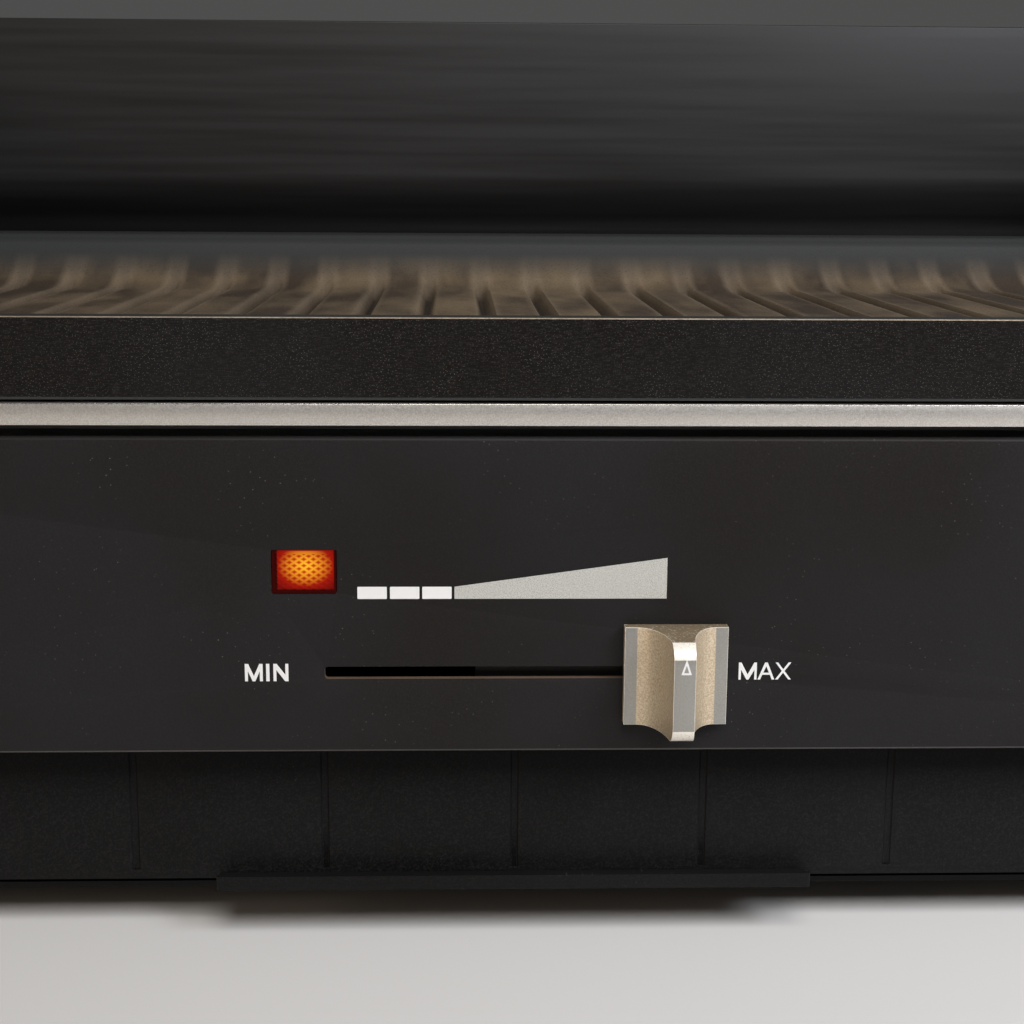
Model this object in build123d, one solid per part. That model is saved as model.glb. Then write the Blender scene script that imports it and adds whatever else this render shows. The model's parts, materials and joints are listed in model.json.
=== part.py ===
from build123d import *
import os
from math import acos, cos, pi, radians, sin, tan

# Table-top electric grill with a ribbed cast hot plate and a sliding heat control.
# Millimetres.  X runs to the right, Y to the back, Z up from the table.
# Every function measures Y from the front panel's face; write() then moves the
# piece so that the origin is under the middle of the whole object.

# ---- driving dimensions ------------------------------------------------------
FACE_TO_CENTRE = 81.25       # front panel's face to the middle of the object
SHEET = 1.2                  # sheet steel of housing, brackets and guard
GAP = 0.3                    # working gap between loose pieces

# heights above the table
COVER_BOTTOM = 8.0
HOUSING_BOTTOM = COVER_BOTTOM + SHEET
SLOT_Z = 58.0
FASCIA_BOTTOM = SLOT_Z - 16.2
FASCIA_TOP = SLOT_Z + 46.2
TRIM_BOTTOM = SLOT_Z + 48.5
TRIM_TOP = SLOT_Z + 52.7
PLATE_BOTTOM = SLOT_Z + 53.3
PLATE_FRONT_TOP = SLOT_Z + 68.8
PLATE_REAR_TOP = SLOT_Z + 78.5
GUARD_STEP_Z = SLOT_Z + 85.7
GUARD_TOP = SLOT_Z + 135.0

# front panel
FASCIA_HALF = 200.0
FASCIA_SHEET = 1.5
FASCIA_RETURN = 12.0
SLOT_LENGTH = 74.6
SLOT_HEIGHT = 2.4
LENS_X = -41.0
LENS_Z = SLOT_Z + 20.1
LENS_WIDTH = 12.2
LENS_HEIGHT = 8.2

# housing
HOUSING_HALF = 198.5
HOUSING_FRONT = 1.8
HOUSING_REAR = 176.0
TOP_FLANGE = 16.0
BOTTOM_FLANGE = 18.0

# trim frame
TRIM_HALF = 201.0
TRIM_FRONT = -1.0
TRIM_REAR = 177.0
TRIM_INNER_HALF = 186.0
TRIM_INNER_FRONT = 11.0
TRIM_INNER_REAR = 152.0

# hot plate
PLATE_HALF = 196.0
PLATE_FRONT = -0.5
PLATE_REAR = 158.0
BASIN_HALF = 186.0
RIB_TOP = PLATE_FRONT_TOP - 3.0
RIB_HEIGHT = 3.0
RIB_FLOOR = RIB_TOP - RIB_HEIGHT
RIB_PITCH = 13.2
RIB_WIDTH = 10.8
RIB_COUNT = 27
RIB_SHIFT = 1.15             # sideways place of the rib pattern
RIB_FRONT = 26.0
RIB_BACK = 112.0            # where the floor starts to sweep up
SWEEP_RADIUS = 34.0
SWEEP_ANGLE = 50.0
PLATE_WALL = 5.0
DRAIN = (-172.0, 19.0)

# heat control
KNOB_X = 30.6                # knob at MAX
KNOB_TRAVEL = 61.5
KNOB_WIDTH = 20.0
KNOB_HEIGHT = 19.5
KNOB_FACE = -3.0
KNOB_NOSE = -16.0
KNOB_STRIP = 2.4             # flat strip down each side of the knob
KNOB_NOSE_RADIUS = 3.8
KNOB_RIDGE = 4.1
GEAR_MODULE = 1.0
PINION_TEETH = 26
PINION_Z = SLOT_Z + 17.0
PINION_FRONT = 4.0
PINION_BACK = 10.0
BACKLASH = 0.16
SPINDLE_R = 3.0
RAIL_HALF = 74.0
RAIL_BACK = 11.6
BRACKET_HALF = 33.0
BRACKET_BACK = 18.2
BRACKET_BOTTOM = SLOT_Z + 7.5
BRACKET_TOP = SLOT_Z + 37.5

# heater
ELEMENT_R = 3.5
ELEMENT_Z = RIB_FLOOR - PLATE_WALL - GAP - ELEMENT_R
ELEMENT_ROWS = (30.0, 62.0, 98.0, 130.0)
ELEMENT_END_X = 152.0
ELEMENT_LEFT = -151.0
ELEMENT_RIGHT = 128.0
ELEMENT_END_Z = SLOT_Z + 24.0
BULB_R = 3.0
BULB_Y = 80.0
BULB_Z = ELEMENT_Z + 0.3
REFLECTOR_FLOOR = SLOT_Z + 39.0
REFLECTOR_SHEET = 1.0

# drip tray
TRAY_HALF = 168.0
TRAY_FRONT = 10.0
TRAY_BACK = 168.0
TRAY_BOTTOM = 12.5
TRAY_TOP = SLOT_Z - 19.0
TRAY_PANEL_HALF = 195.5
GROOVE_PITCH = 38.5

FOOT_PLACES = {
    "foot_front_left": (-186.5, 28.0),
    "foot_front_right": (186.5, 28.0),
    "foot_rear_left": (-186.5, 150.0),
    "foot_rear_right": (186.5, 150.0),
}
TRIM_SCREW_PLACES = [(-165, 6), (-110, 6), (110, 6), (165, 6), (-192, 60), (192, 60),
                     (-192, 120), (192, 120), (-150, 169), (0, 169), (150, 169)]
GUARD_TAB_X = (-110.0, 110.0)
GLAND = (150.0, SLOT_Z + 12.0)
FASCIA_SCREW_Z = (SLOT_Z - 2.0, SLOT_Z + 32.0)
VENT_Z = SLOT_Z + 16.0


# ---- helpers -----------------------------------------------------------------
def block(x0, x1, y0, y1, z0, z1):
    """Box between two corners."""
    return Pos((x0 + x1) / 2, (y0 + y1) / 2, (z0 + z1) / 2) * Box(x1 - x0, y1 - y0, z1 - z0)


def slab(half, y0, y1, z0, z1, radius):
    """Level plate, centred left to right, with rounded corners."""
    outline = RectangleRounded(2 * half, y1 - y0, radius)
    return Pos(0, (y0 + y1) / 2, z0) * extrude(outline, z1 - z0)


def rod(radius, start, end):
    """Round bar from one point to another."""
    run = Vector(*end) - Vector(*start)
    bar = Cylinder(radius, run.length, align=(Align.CENTER, Align.CENTER, Align.MIN))
    return Plane(origin=start, z_dir=run) * bar


def ring(outer, inner, start, end):
    """Round tube from one point to another."""
    return rod(outer, start, end) - rod(inner, start, end)


def hexagon(across_flats, start, end):
    """Six-sided bar from one point to another."""
    run = Vector(*end) - Vector(*start)
    face = RegularPolygon(across_flats / 2, 6, major_radius=False)
    return Plane(origin=start, z_dir=run) * extrude(face, run.length)


def screw(head_r, head_height, shank_r, length, seat, direction):
    """Pan-head screw: seat is the point under its head, direction is the way it is driven."""
    drive = Vector(*direction)
    under = Vector(*seat)
    top = under - drive * head_height
    tip = under + drive * length
    body = rod(head_r, tuple(top), tuple(under)) + rod(shank_r, tuple(under), tuple(tip))
    socket = rod(head_r * 0.45, tuple(top), tuple(top + drive * head_height * 0.6))
    return body - socket


def wire(points, radii, radius):
    """Round bar or lead bent along straight runs and arcs."""
    path = FilletPolyline(*points, radius=radii)
    first = Vector(*points[0])
    heading = Vector(*points[1]) - first
    return sweep(Plane(origin=first, z_dir=heading) * Circle(radius), path=path)


def side_profile(outline, half):
    """Extrude a (y, z) outline over the width from -half to +half."""
    face = Plane.YZ * make_face(outline)
    return extrude(face, half, both=True)


def write(name, *solids):
    """Save one node; identical pieces share a node as separate solids."""
    place = Location((0, -FACE_TO_CENTRE, 0))
    moved = [solid.moved(place) for solid in solids]
    parts = [piece for shape in moved for piece in shape.solids()]
    export_step(parts[0] if len(parts) == 1 else Compound(children=parts), f"parts/{name}.step")


# ---- hot plate ---------------------------------------------------------------
def swept_floor(floor_z, radius, angle):
    """End of the rear sweep, as (y, z), and its middle point."""
    turn = radians(angle)
    end = (RIB_BACK + radius * sin(turn), floor_z + radius * (1 - cos(turn)))
    middle = (RIB_BACK + radius * sin(turn / 2), floor_z + radius * (1 - cos(turn / 2)))
    return middle, end


def plate_rib(centre_x):
    """One cooking rib: flat, then bent up the rear sweep until it fades out."""
    radius = SWEEP_RADIUS - RIB_HEIGHT
    middle, end = swept_floor(RIB_TOP, radius, 40)
    top = Line((RIB_FRONT + 2, RIB_TOP), (RIB_BACK, RIB_TOP))
    bend = ThreePointArc((RIB_BACK, RIB_TOP), middle, end)
    root = Polyline(end, (end[0] + 4, end[1] - 3), (RIB_BACK, RIB_FLOOR - 1),
                    (RIB_FRONT, RIB_FLOOR - 1), (RIB_FRONT, RIB_FLOOR + 1), (RIB_FRONT + 2, RIB_TOP))
    return Pos(centre_x, 0, 0) * side_profile(top + bend + root, RIB_WIDTH / 2)


def grill_plate():
    outer = side_profile(Polyline((PLATE_FRONT, PLATE_BOTTOM), (PLATE_FRONT, PLATE_FRONT_TOP),
                                  (10, PLATE_FRONT_TOP), (PLATE_REAR, PLATE_REAR_TOP),
                                  (PLATE_REAR, PLATE_BOTTOM), close=True), PLATE_HALF)
    outer = fillet(outer.edges().filter_by(Axis.Z), 6)

    middle, end = swept_floor(RIB_FLOOR, SWEEP_RADIUS, SWEEP_ANGLE)
    rise = PLATE_REAR_TOP + 4 - end[1]
    rear_top = (end[0] + rise / tan(radians(SWEEP_ANGLE)), PLATE_REAR_TOP + 4)
    gutter_z = RIB_FLOOR - 2.3
    floor = Polyline((24, gutter_z), (24, RIB_FLOOR), (RIB_BACK, RIB_FLOOR))
    sweep_up = ThreePointArc((RIB_BACK, RIB_FLOOR), middle, end)
    walls = Polyline(end, rear_top, (5.5, PLATE_REAR_TOP + 4), (5.5, PLATE_FRONT_TOP - 1),
                     (9, gutter_z), (24, gutter_z))
    basin = side_profile(floor + sweep_up + walls, BASIN_HALF)
    plate = outer - basin

    under_z = RIB_FLOOR - PLATE_WALL
    under_middle, under_end = swept_floor(under_z, SWEEP_RADIUS + PLATE_WALL, SWEEP_ANGLE)
    pocket_front = Polyline((5, PLATE_BOTTOM - 1), (5, gutter_z - 4.5), (27, gutter_z - 4.5),
                            (27, under_z), (RIB_BACK, under_z))
    pocket_sweep = ThreePointArc((RIB_BACK, under_z), under_middle, under_end)
    pocket_rear = Polyline(under_end, (PLATE_REAR - 5, under_end[1] + 4),
                           (PLATE_REAR - 5, PLATE_BOTTOM - 1), (5, PLATE_BOTTOM - 1))
    plate -= side_profile(pocket_front + pocket_sweep + pocket_rear, PLATE_HALF - 5)

    for index in range(RIB_COUNT):
        centre = (index - (RIB_COUNT - 1) / 2) * RIB_PITCH + RIB_SHIFT
        plate += plate_rib(centre)

    pad_bottom = TRIM_TOP + GAP
    for side in (-1, 1):
        x_in, x_out = sorted((side * 187.5, side * 194))
        for y in (14, 140):
            plate += block(x_in, x_out, y, y + 10, pad_bottom, PLATE_BOTTOM + 5)
        for y in (45, 115):
            plate += rod(2.5, (side * 183, y, TRIM_BOTTOM), (side * 183, y, under_z + 1))
    spout_top = gutter_z - 1
    plate += rod(5, (*DRAIN, TRIM_TOP - 1.2), (*DRAIN, spout_top))
    plate -= rod(3.5, (*DRAIN, TRIM_TOP - 2), (*DRAIN, gutter_z + 1))
    return plate


# ---- trim frame, housing and covers -------------------------------------------
def trim_frame():
    web_bottom = TRIM_TOP - SHEET
    frame = slab(TRIM_HALF, TRIM_FRONT, TRIM_REAR, TRIM_BOTTOM, TRIM_TOP, 5)
    frame = chamfer(frame.edges().group_by(Axis.Z)[-1], 0.35)
    frame -= slab(TRIM_HALF - 1.5, TRIM_FRONT + 1.5, TRIM_REAR - 1.5, TRIM_BOTTOM - 1, web_bottom, 3.5)
    opening_half = TRIM_INNER_HALF
    frame -= slab(opening_half, TRIM_INNER_FRONT, TRIM_INNER_REAR, TRIM_BOTTOM, TRIM_TOP + 1, 4)
    for x in GUARD_TAB_X:
        frame -= block(x - 10.5, x + 10.5, 165.5, 167.7, web_bottom - 1, TRIM_TOP + 1)
    for x, y in TRIM_SCREW_PLACES:
        frame -= rod(1.5, (x, y, web_bottom - 1), (x, y, TRIM_TOP - 0.2))
    return frame


def trim_spacers():
    return [ring(4, 1.6, (x, y, FASCIA_TOP), (x, y, TRIM_TOP - SHEET)) for x, y in TRIM_SCREW_PLACES]


def trim_screws():
    seat_z = FASCIA_TOP - SHEET
    return [screw(2.8, 2.0, 1.5, TRIM_TOP - 0.3 - seat_z, (x, y, seat_z), (0, 0, 1))
            for x, y in TRIM_SCREW_PLACES]


def front_fascia():
    outer = block(-FASCIA_HALF, FASCIA_HALF, 0, FASCIA_RETURN, FASCIA_BOTTOM, FASCIA_TOP)
    outer = fillet(outer.edges().group_by(Axis.Y)[0], 0.8)
    panel = outer - block(-FASCIA_HALF + SHEET, FASCIA_HALF - SHEET, FASCIA_SHEET, FASCIA_RETURN + 1,
                          FASCIA_BOTTOM + SHEET, FASCIA_TOP - SHEET)
    for side in (-1, 1):
        x0, x1 = sorted((side * (HOUSING_HALF - SHEET - GAP), side * (FASCIA_HALF - SHEET)))
        panel -= block(x0, x1, FASCIA_SHEET, FASCIA_RETURN + 1, FASCIA_BOTTOM - 1, FASCIA_TOP + 1)
    slot = Plane.XZ * Pos(0, SLOT_Z) * SlotOverall(SLOT_LENGTH, SLOT_HEIGHT)
    panel -= extrude(slot, 5, both=True)
    panel -= block(LENS_X - LENS_WIDTH / 2 - 0.15, LENS_X + LENS_WIDTH / 2 + 0.15, -1, 3,
                   LENS_Z - LENS_HEIGHT / 2 - 0.15, LENS_Z + LENS_HEIGHT / 2 + 0.15)
    for x, y in TRIM_SCREW_PLACES:
        if y < FASCIA_RETURN:
            panel -= rod(1.6, (x, y, FASCIA_TOP - 3), (x, y, FASCIA_TOP + 1))
    for z in FASCIA_SCREW_Z:
        panel -= rod(1.75, (-FASCIA_HALF - 1, 7, z), (FASCIA_HALF + 1, 7, z))
    return panel


STUD_PLACES = [(-81, SLOT_Z + 0.5), (81, SLOT_Z + 0.5), (-38, SLOT_Z + 32), (38, SLOT_Z + 32)]


def fascia_studs():
    return [rod(1.5, (x, FASCIA_SHEET, z), (x, 8, z)) for x, z in STUD_PLACES]


def stud_nuts():
    y0 = FASCIA_SHEET + SHEET
    return [hexagon(5.5, (x, y0, z), (x, y0 + 2.4, z)) - rod(1.5, (x, 0, z), (x, 9, z))
            for x, z in STUD_PLACES]


def fascia_screws():
    return [screw(3.2, 1.8, 1.7, 6, (side * FASCIA_HALF, 7, z), (-side, 0, 0))
            for side in (-1, 1) for z in FASCIA_SCREW_Z]


def base_housing():
    walls = slab(HOUSING_HALF, -20, HOUSING_REAR, HOUSING_BOTTOM, FASCIA_TOP, 4)
    inner_rear = HOUSING_REAR - SHEET
    walls -= slab(HOUSING_HALF - SHEET, -30, inner_rear, HOUSING_BOTTOM - 1, FASCIA_TOP + 1, 2.8)
    flange_z = FASCIA_TOP - SHEET
    keep = slab(HOUSING_HALF - 1, -30, HOUSING_REAR - 1, HOUSING_BOTTOM, FASCIA_TOP, 3)
    top = block(-HOUSING_HALF, HOUSING_HALF, FASCIA_RETURN + GAP, HOUSING_REAR, flange_z, FASCIA_TOP)
    hole = HOUSING_HALF - TOP_FLANGE
    top -= block(-hole, hole, 0, HOUSING_REAR - TOP_FLANGE - SHEET, flange_z - 1, FASCIA_TOP + 1)
    bottom = block(-HOUSING_HALF, HOUSING_HALF, 14, HOUSING_REAR, HOUSING_BOTTOM, HOUSING_BOTTOM + SHEET)
    hole = HOUSING_HALF - BOTTOM_FLANGE
    bottom -= block(-hole, hole, 0, HOUSING_REAR - 13, HOUSING_BOTTOM - 1, HOUSING_BOTTOM + SHEET + 1)
    shell = walls + (top & keep) + (bottom & keep)
    shell -= block(-250, 250, -40, HOUSING_FRONT, 0, FASCIA_TOP + 1)

    for x, y in TRIM_SCREW_PLACES:
        if y > FASCIA_RETURN:
            shell -= rod(1.6, (x, y, flange_z - 1), (x, y, FASCIA_TOP + 1))
    for x, y in FOOT_PLACES.values():
        shell -= rod(2.1, (x, y, HOUSING_BOTTOM - 1), (x, y, HOUSING_BOTTOM + SHEET + 1))
    for x, y in COVER_SCREW_PLACES:
        shell -= rod(1.7, (x, y, HOUSING_BOTTOM - 1), (x, y, HOUSING_BOTTOM + SHEET + 1))
    for z in FASCIA_SCREW_Z:
        shell -= rod(1.7, (-HOUSING_HALF - 1, 7, z), (HOUSING_HALF + 1, 7, z))
    shell -= rod(8, (GLAND[0], 170, GLAND[1]), (GLAND[0], 180, GLAND[1]))
    shell -= rod(2, (EARTH_X, 170, EARTH_Z), (EARTH_X, 180, EARTH_Z))
    slot = Plane.YZ * SlotOverall(34, 3, rotation=90)
    for step in range(9):
        vent = extrude(slot, HOUSING_HALF + 5, both=True)
        shell -= Pos(0, 60 + 8 * step, VENT_Z) * vent
    rear_slot = Plane.XZ * SlotOverall(34, 3, rotation=90)
    for step in range(13):
        vent = extrude(rear_slot, 5, both=True)
        shell -= Pos(-48 + 8 * step, HOUSING_REAR, VENT_Z) * vent
    for x, y in REFLECTOR_SCREW_PLACES:
        shell -= rod(1.5, (x, y, flange_z - 1), (x, y, FASCIA_TOP + 1))
    return shell


COVER_SCREW_PLACES = [(-190, 90), (190, 90), (-90, 169), (90, 169)]
REFLECTOR_SCREW_PLACES = [(-184.6, 40), (184.6, 40), (-184.6, 135), (184.6, 135)]
EARTH_X = 84.0
EARTH_Z = SLOT_Z + 10.0


def bottom_cover():
    cover = slab(HOUSING_HALF - 1.5, 14, HOUSING_REAR - 1.5, COVER_BOTTOM, HOUSING_BOTTOM, 3)
    for row in (45, 75, 105, 135):
        for column in range(9):
            slot = Pos(-120 + 30 * column, row, COVER_BOTTOM - 1) * extrude(SlotOverall(20, 3), 4)
            cover -= slot
    for x, y in FOOT_PLACES.values():
        cover -= rod(2.1, (x, y, COVER_BOTTOM - 1), (x, y, HOUSING_BOTTOM + 1))
    for x, y in COVER_SCREW_PLACES:
        cover -= rod(1.7, (x, y, COVER_BOTTOM - 1), (x, y, HOUSING_BOTTOM + 1))
    return cover


def cover_screws():
    return [screw(3.0, 1.6, 1.6, 4, (x, y, COVER_BOTTOM), (0, 0, 1)) for x, y in COVER_SCREW_PLACES]


def rubber_foot(x, y):
    foot = Pos(x, y, 0) * Cone(9, 11, COVER_BOTTOM, align=(Align.CENTER, Align.CENTER, Align.MIN))
    foot = fillet(foot.edges().group_by(Axis.Z)[0], 1)
    foot -= rod(4.6, (x, y, -1), (x, y, 4))
    foot -= rod(2.1, (x, y, 3), (x, y, COVER_BOTTOM + 1))
    return foot


def foot_screws():
    return [screw(4.2, 2.2, 2.0, 12, (x, y, 4), (0, 0, 1)) for x, y in FOOT_PLACES.values()]


def foot_nuts():
    z0 = HOUSING_BOTTOM + SHEET
    return [hexagon(7, (x, y, z0), (x, y, z0 + 3.2)) - rod(2, (x, y, z0 - 1), (x, y, z0 + 5))
            for x, y in FOOT_PLACES.values()]


# ---- heat control --------------------------------------------------------------
def slider_knob():
    """Flanged knob with a centre ridge; its flanks sweep up in hollow curves."""
    half = KNOB_WIDTH / 2
    ridge = KNOB_RIDGE / 2
    flat = half - KNOB_STRIP
    outline = Polyline((-flat, KNOB_FACE), (-half, KNOB_FACE), (-half, -0.5), (half, -0.5),
                       (half, KNOB_FACE), (flat, KNOB_FACE))
    right = ThreePointArc((flat, KNOB_FACE), (3.7, -6.8), (ridge, KNOB_NOSE))
    left = ThreePointArc((-flat, KNOB_FACE), (-3.7, -6.8), (-ridge, KNOB_NOSE))
    face = make_face(outline + right + Line((ridge, KNOB_NOSE), (-ridge, KNOB_NOSE)) + left)
    body = Pos(0, 0, SLOT_Z) * extrude(face, KNOB_HEIGHT / 2, both=True)
    envelope = block(-half - 1, half + 1, KNOB_NOSE, 0, SLOT_Z - KNOB_HEIGHT / 2, SLOT_Z + KNOB_HEIGHT / 2)
    envelope = fillet(envelope.edges().filter_by(Axis.X).group_by(Axis.Y)[0], KNOB_NOSE_RADIUS)
    body = body & envelope
    body -= block(-2.5, 2.5, -7, 1, SLOT_Z - 0.9, SLOT_Z + 0.9)
    return Pos(KNOB_X, 0, 0) * body


RACK_PITCH_Z = PINION_Z - GEAR_MODULE * PINION_TEETH / 2
RACK_TEETH = range(-2, 22)


def slider_carriage():
    """Sliding bar behind the panel, with a blade for the knob and rack teeth on top."""
    root_z = RACK_PITCH_Z - 1.25 * GEAR_MODULE
    tip_z = RACK_PITCH_Z + GEAR_MODULE
    pitch = pi * GEAR_MODULE
    bar = block(RACK_TEETH[0] * pitch - 1.8, RACK_TEETH[-1] * pitch + 1.8,
                PINION_FRONT, PINION_BACK, SLOT_Z - 4, root_z)
    bar += block(KNOB_X - 8, KNOB_X + 8, FASCIA_SHEET + GAP, PINION_FRONT, SLOT_Z - 4, SLOT_Z + 5)
    bar += block(KNOB_X - 2.5, KNOB_X + 2.5, -7, PINION_FRONT, SLOT_Z - 0.9, SLOT_Z + 0.9)
    half = (pitch / 2 - BACKLASH) / 2
    lean = tan(radians(20))
    low = half + 1.25 * GEAR_MODULE * lean
    high = half - GEAR_MODULE * lean
    outline = Polyline((-low, root_z - 0.2), (-low, root_z), (-high, tip_z), (high, tip_z),
                       (low, root_z), (low, root_z - 0.2), close=True)
    tooth = extrude(Plane.XZ * make_face(outline), -(PINION_BACK - PINION_FRONT))
    for index in RACK_TEETH:
        bar += Pos(index * pitch, PINION_FRONT, 0) * tooth
    return bar


def slider_rail():
    """Channel that guides the sliding bar, open above it for the pinion."""
    low, high = SLOT_Z - 5.5, SLOT_Z + 6.5
    rail = block(-RAIL_HALF, RAIL_HALF, 2, RAIL_BACK, low, high)
    rail -= block(-RAIL_HALF - 1, RAIL_HALF + 1, 1, RAIL_BACK - SHEET, low + SHEET, high - SHEET)
    rail -= block(-11, 11, 1, RAIL_BACK - SHEET, high - SHEET - 1, high + 1)
    for side in (-1, 1):
        x0, x1 = sorted((side * RAIL_HALF, side * (RAIL_HALF + SHEET)))
        rail += block(x0, x1, FASCIA_SHEET, RAIL_BACK, low, high)
        x0, x1 = sorted((side * RAIL_HALF, side * (RAIL_HALF + 12)))
        rail += block(x0, x1, FASCIA_SHEET, FASCIA_SHEET + SHEET, low, high)
        rail -= rod(1.6, (side * 81, 0, SLOT_Z + 0.5), (side * 81, 5, SLOT_Z + 0.5))
    return rail


def thermostat_bracket():
    inner = BRACKET_HALF - SHEET
    bracket = block(-BRACKET_HALF, BRACKET_HALF, FASCIA_SHEET, BRACKET_BACK, BRACKET_BOTTOM, BRACKET_TOP)
    bracket -= block(-inner, inner, 0, BRACKET_BACK - SHEET, BRACKET_BOTTOM - 1, BRACKET_TOP + 1)
    for side in (-1, 1):
        x0, x1 = sorted((side * inner, side * (BRACKET_HALF + 10)))
        bracket += block(x0, x1, FASCIA_SHEET, FASCIA_SHEET + SHEET, SLOT_Z + 27, BRACKET_TOP)
        bracket -= rod(1.6, (side * 38, 0, SLOT_Z + 32), (side * 38, 5, SLOT_Z + 32))
        bracket -= rod(2.1, (side * 14, 10, PINION_Z), (side * 14, 25, PINION_Z))
    bracket -= rod(5.1, (0, 10, PINION_Z), (0, 25, PINION_Z))
    return bracket


def thermostat_body():
    z0, z1 = PINION_Z - 17, PINION_Z + 17
    body = block(-22, 22, BRACKET_BACK, BRACKET_BACK + 12, z0, z1)
    body = fillet(body.edges().filter_by(Axis.Y), 4)
    body += rod(5, (0, BRACKET_BACK - 5.8, PINION_Z), (0, BRACKET_BACK + 1, PINION_Z))
    body -= rod(SPINDLE_R + 0.05, (0, 5, PINION_Z), (0, BRACKET_BACK + 8, PINION_Z))
    for side in (-1, 1):
        body -= rod(2, (side * 14, 10, PINION_Z), (side * 14, BRACKET_BACK + 6, PINION_Z))
    return body


def thermostat_ceramic():
    y0 = BRACKET_BACK + 12
    body = block(-20, 20, y0, y0 + 14, PINION_Z - 15, PINION_Z + 15)
    body = chamfer(body.edges().group_by(Axis.Y)[-1], 1.5)
    for x in (-11, 11):
        body -= block(x - 3.2, x + 3.2, y0 + 8, y0 + 20, PINION_Z - 4.4, PINION_Z - 3.6)
    return body


def thermostat_terminals():
    y0 = BRACKET_BACK + 20
    return [block(x - 3.2, x + 3.2, y0, y0 + 15, PINION_Z - 4.4, PINION_Z - 3.6) for x in (-11, 11)]


def thermostat_screws():
    seat_y = BRACKET_BACK - SHEET
    return [screw(3.4, 2, 1.9, 7, (x, seat_y, PINION_Z), (0, 1, 0)) for x in (-14, 14)]


def flat_side():
    """What the spindle's flat takes off its round end."""
    return block(-4, 4, 0, PINION_BACK + 1.6, PINION_Z + 2.3, PINION_Z + 4)


def thermostat_spindle():
    spindle = rod(SPINDLE_R, (0, 3.0, PINION_Z), (0, BRACKET_BACK + 7.5, PINION_Z))
    return spindle - flat_side()


def involute(radius_base, radius):
    """Angle that an involute from the base circle has turned by at a radius."""
    opening = acos(radius_base / radius)
    return tan(opening) - opening


def spindle_pinion():
    pitch_r = GEAR_MODULE * PINION_TEETH / 2
    base_r = pitch_r * cos(radians(20))
    tip_r = pitch_r + GEAR_MODULE
    root_r = pitch_r - 1.25 * GEAR_MODULE
    half_tooth = (pi * GEAR_MODULE / 2 - BACKLASH) / 2 / pitch_r
    at_pitch = involute(base_r, pitch_r)
    flank = []
    for step in range(6):
        radius = base_r + 0.001 + (tip_r - base_r - 0.001) * step / 5
        flank.append((radius, half_tooth + at_pitch - involute(base_r, radius)))
    tooth = [(root_r, flank[0][1])] + flank
    outline = []
    for index in range(PINION_TEETH):
        middle = -pi / 2 + (index + 0.5) * 2 * pi / PINION_TEETH
        for radius, angle in tooth:
            outline.append((radius * cos(middle - angle), radius * sin(middle - angle)))
        for radius, angle in reversed(tooth):
            outline.append((radius * cos(middle + angle), radius * sin(middle + angle)))
    face = Plane.XZ * Pos(0, PINION_Z) * make_face(Polyline(*outline, close=True))
    gear = Pos(0, PINION_FRONT, 0) * extrude(face, -(PINION_BACK - PINION_FRONT))
    gear += rod(5.5, (0, PINION_BACK - 1, PINION_Z), (0, PINION_BACK + 1.6, PINION_Z))
    bore = rod(SPINDLE_R, (0, 1, PINION_Z), (0, 20, PINION_Z)) - flat_side()
    return gear - bore


def pinion_clip():
    clip = ring(5.5, SPINDLE_R - 0.02, (0, 3.1, PINION_Z), (0, PINION_FRONT, PINION_Z))
    return clip - rod(SPINDLE_R, (0, 1, PINION_Z), (0, 6, PINION_Z))


# ---- pilot lamp ----------------------------------------------------------------
def pilot_lens():
    half_w, half_h = LENS_WIDTH / 2, LENS_HEIGHT / 2
    lens = block(LENS_X - half_w, LENS_X + half_w, -0.2, 2.8, LENS_Z - half_h, LENS_Z + half_h)
    lens += block(LENS_X - half_w - 1, LENS_X + half_w + 1, 1.6, 2.8,
                  LENS_Z - half_h - 1, LENS_Z + half_h + 1)
    lens -= block(LENS_X - half_w + 1, LENS_X + half_w - 1, 0.8, 4, LENS_Z - half_h + 1, LENS_Z + half_h - 1)
    return lens


def pilot_housing():
    case = block(LENS_X - 6.5, LENS_X + 6.5, 2.8, 18, LENS_Z - 4.5, LENS_Z + 4.5)
    case -= block(LENS_X - 5.3, LENS_X + 5.3, 1, 16.8, LENS_Z - 3.3, LENS_Z + 3.3)
    for x in (-3, 3):
        case -= block(LENS_X + x - 1.4, LENS_X + x + 1.4, 15, 20, LENS_Z - 0.4, LENS_Z + 0.4)
    return case


def neon_bulb():
    bulb = rod(2.4, (LENS_X, 5, LENS_Z), (LENS_X, 14, LENS_Z))
    return fillet(bulb.edges().group_by(Axis.Y)[0], 2.0)


def pilot_terminals():
    return [block(LENS_X + x - 1.4, LENS_X + x + 1.4, 15, 24, LENS_Z - 0.4, LENS_Z + 0.4) for x in (-3, 3)]


# ---- heater --------------------------------------------------------------------
def heating_element():
    first, second, third, fourth = ELEMENT_ROWS
    end_x, z = ELEMENT_END_X, ELEMENT_Z
    points = [(end_x, first, ELEMENT_END_Z), (end_x, first, z), (ELEMENT_LEFT, first, z),
              (ELEMENT_LEFT, second, z), (ELEMENT_RIGHT, second, z), (ELEMENT_RIGHT, third, z),
              (ELEMENT_LEFT, third, z), (ELEMENT_LEFT, fourth, z), (end_x, fourth, z),
              (end_x, fourth, ELEMENT_END_Z)]
    outer_bend = (second - first) / 2 - 0.1
    inner_bend = (third - second) / 2 - 0.1
    radii = [9, outer_bend, outer_bend, inner_bend, inner_bend, outer_bend, outer_bend, 9]
    return wire(points, radii, ELEMENT_R)


def element_ends():
    return [ELEMENT_ROWS[0], ELEMENT_ROWS[-1]]


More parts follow.
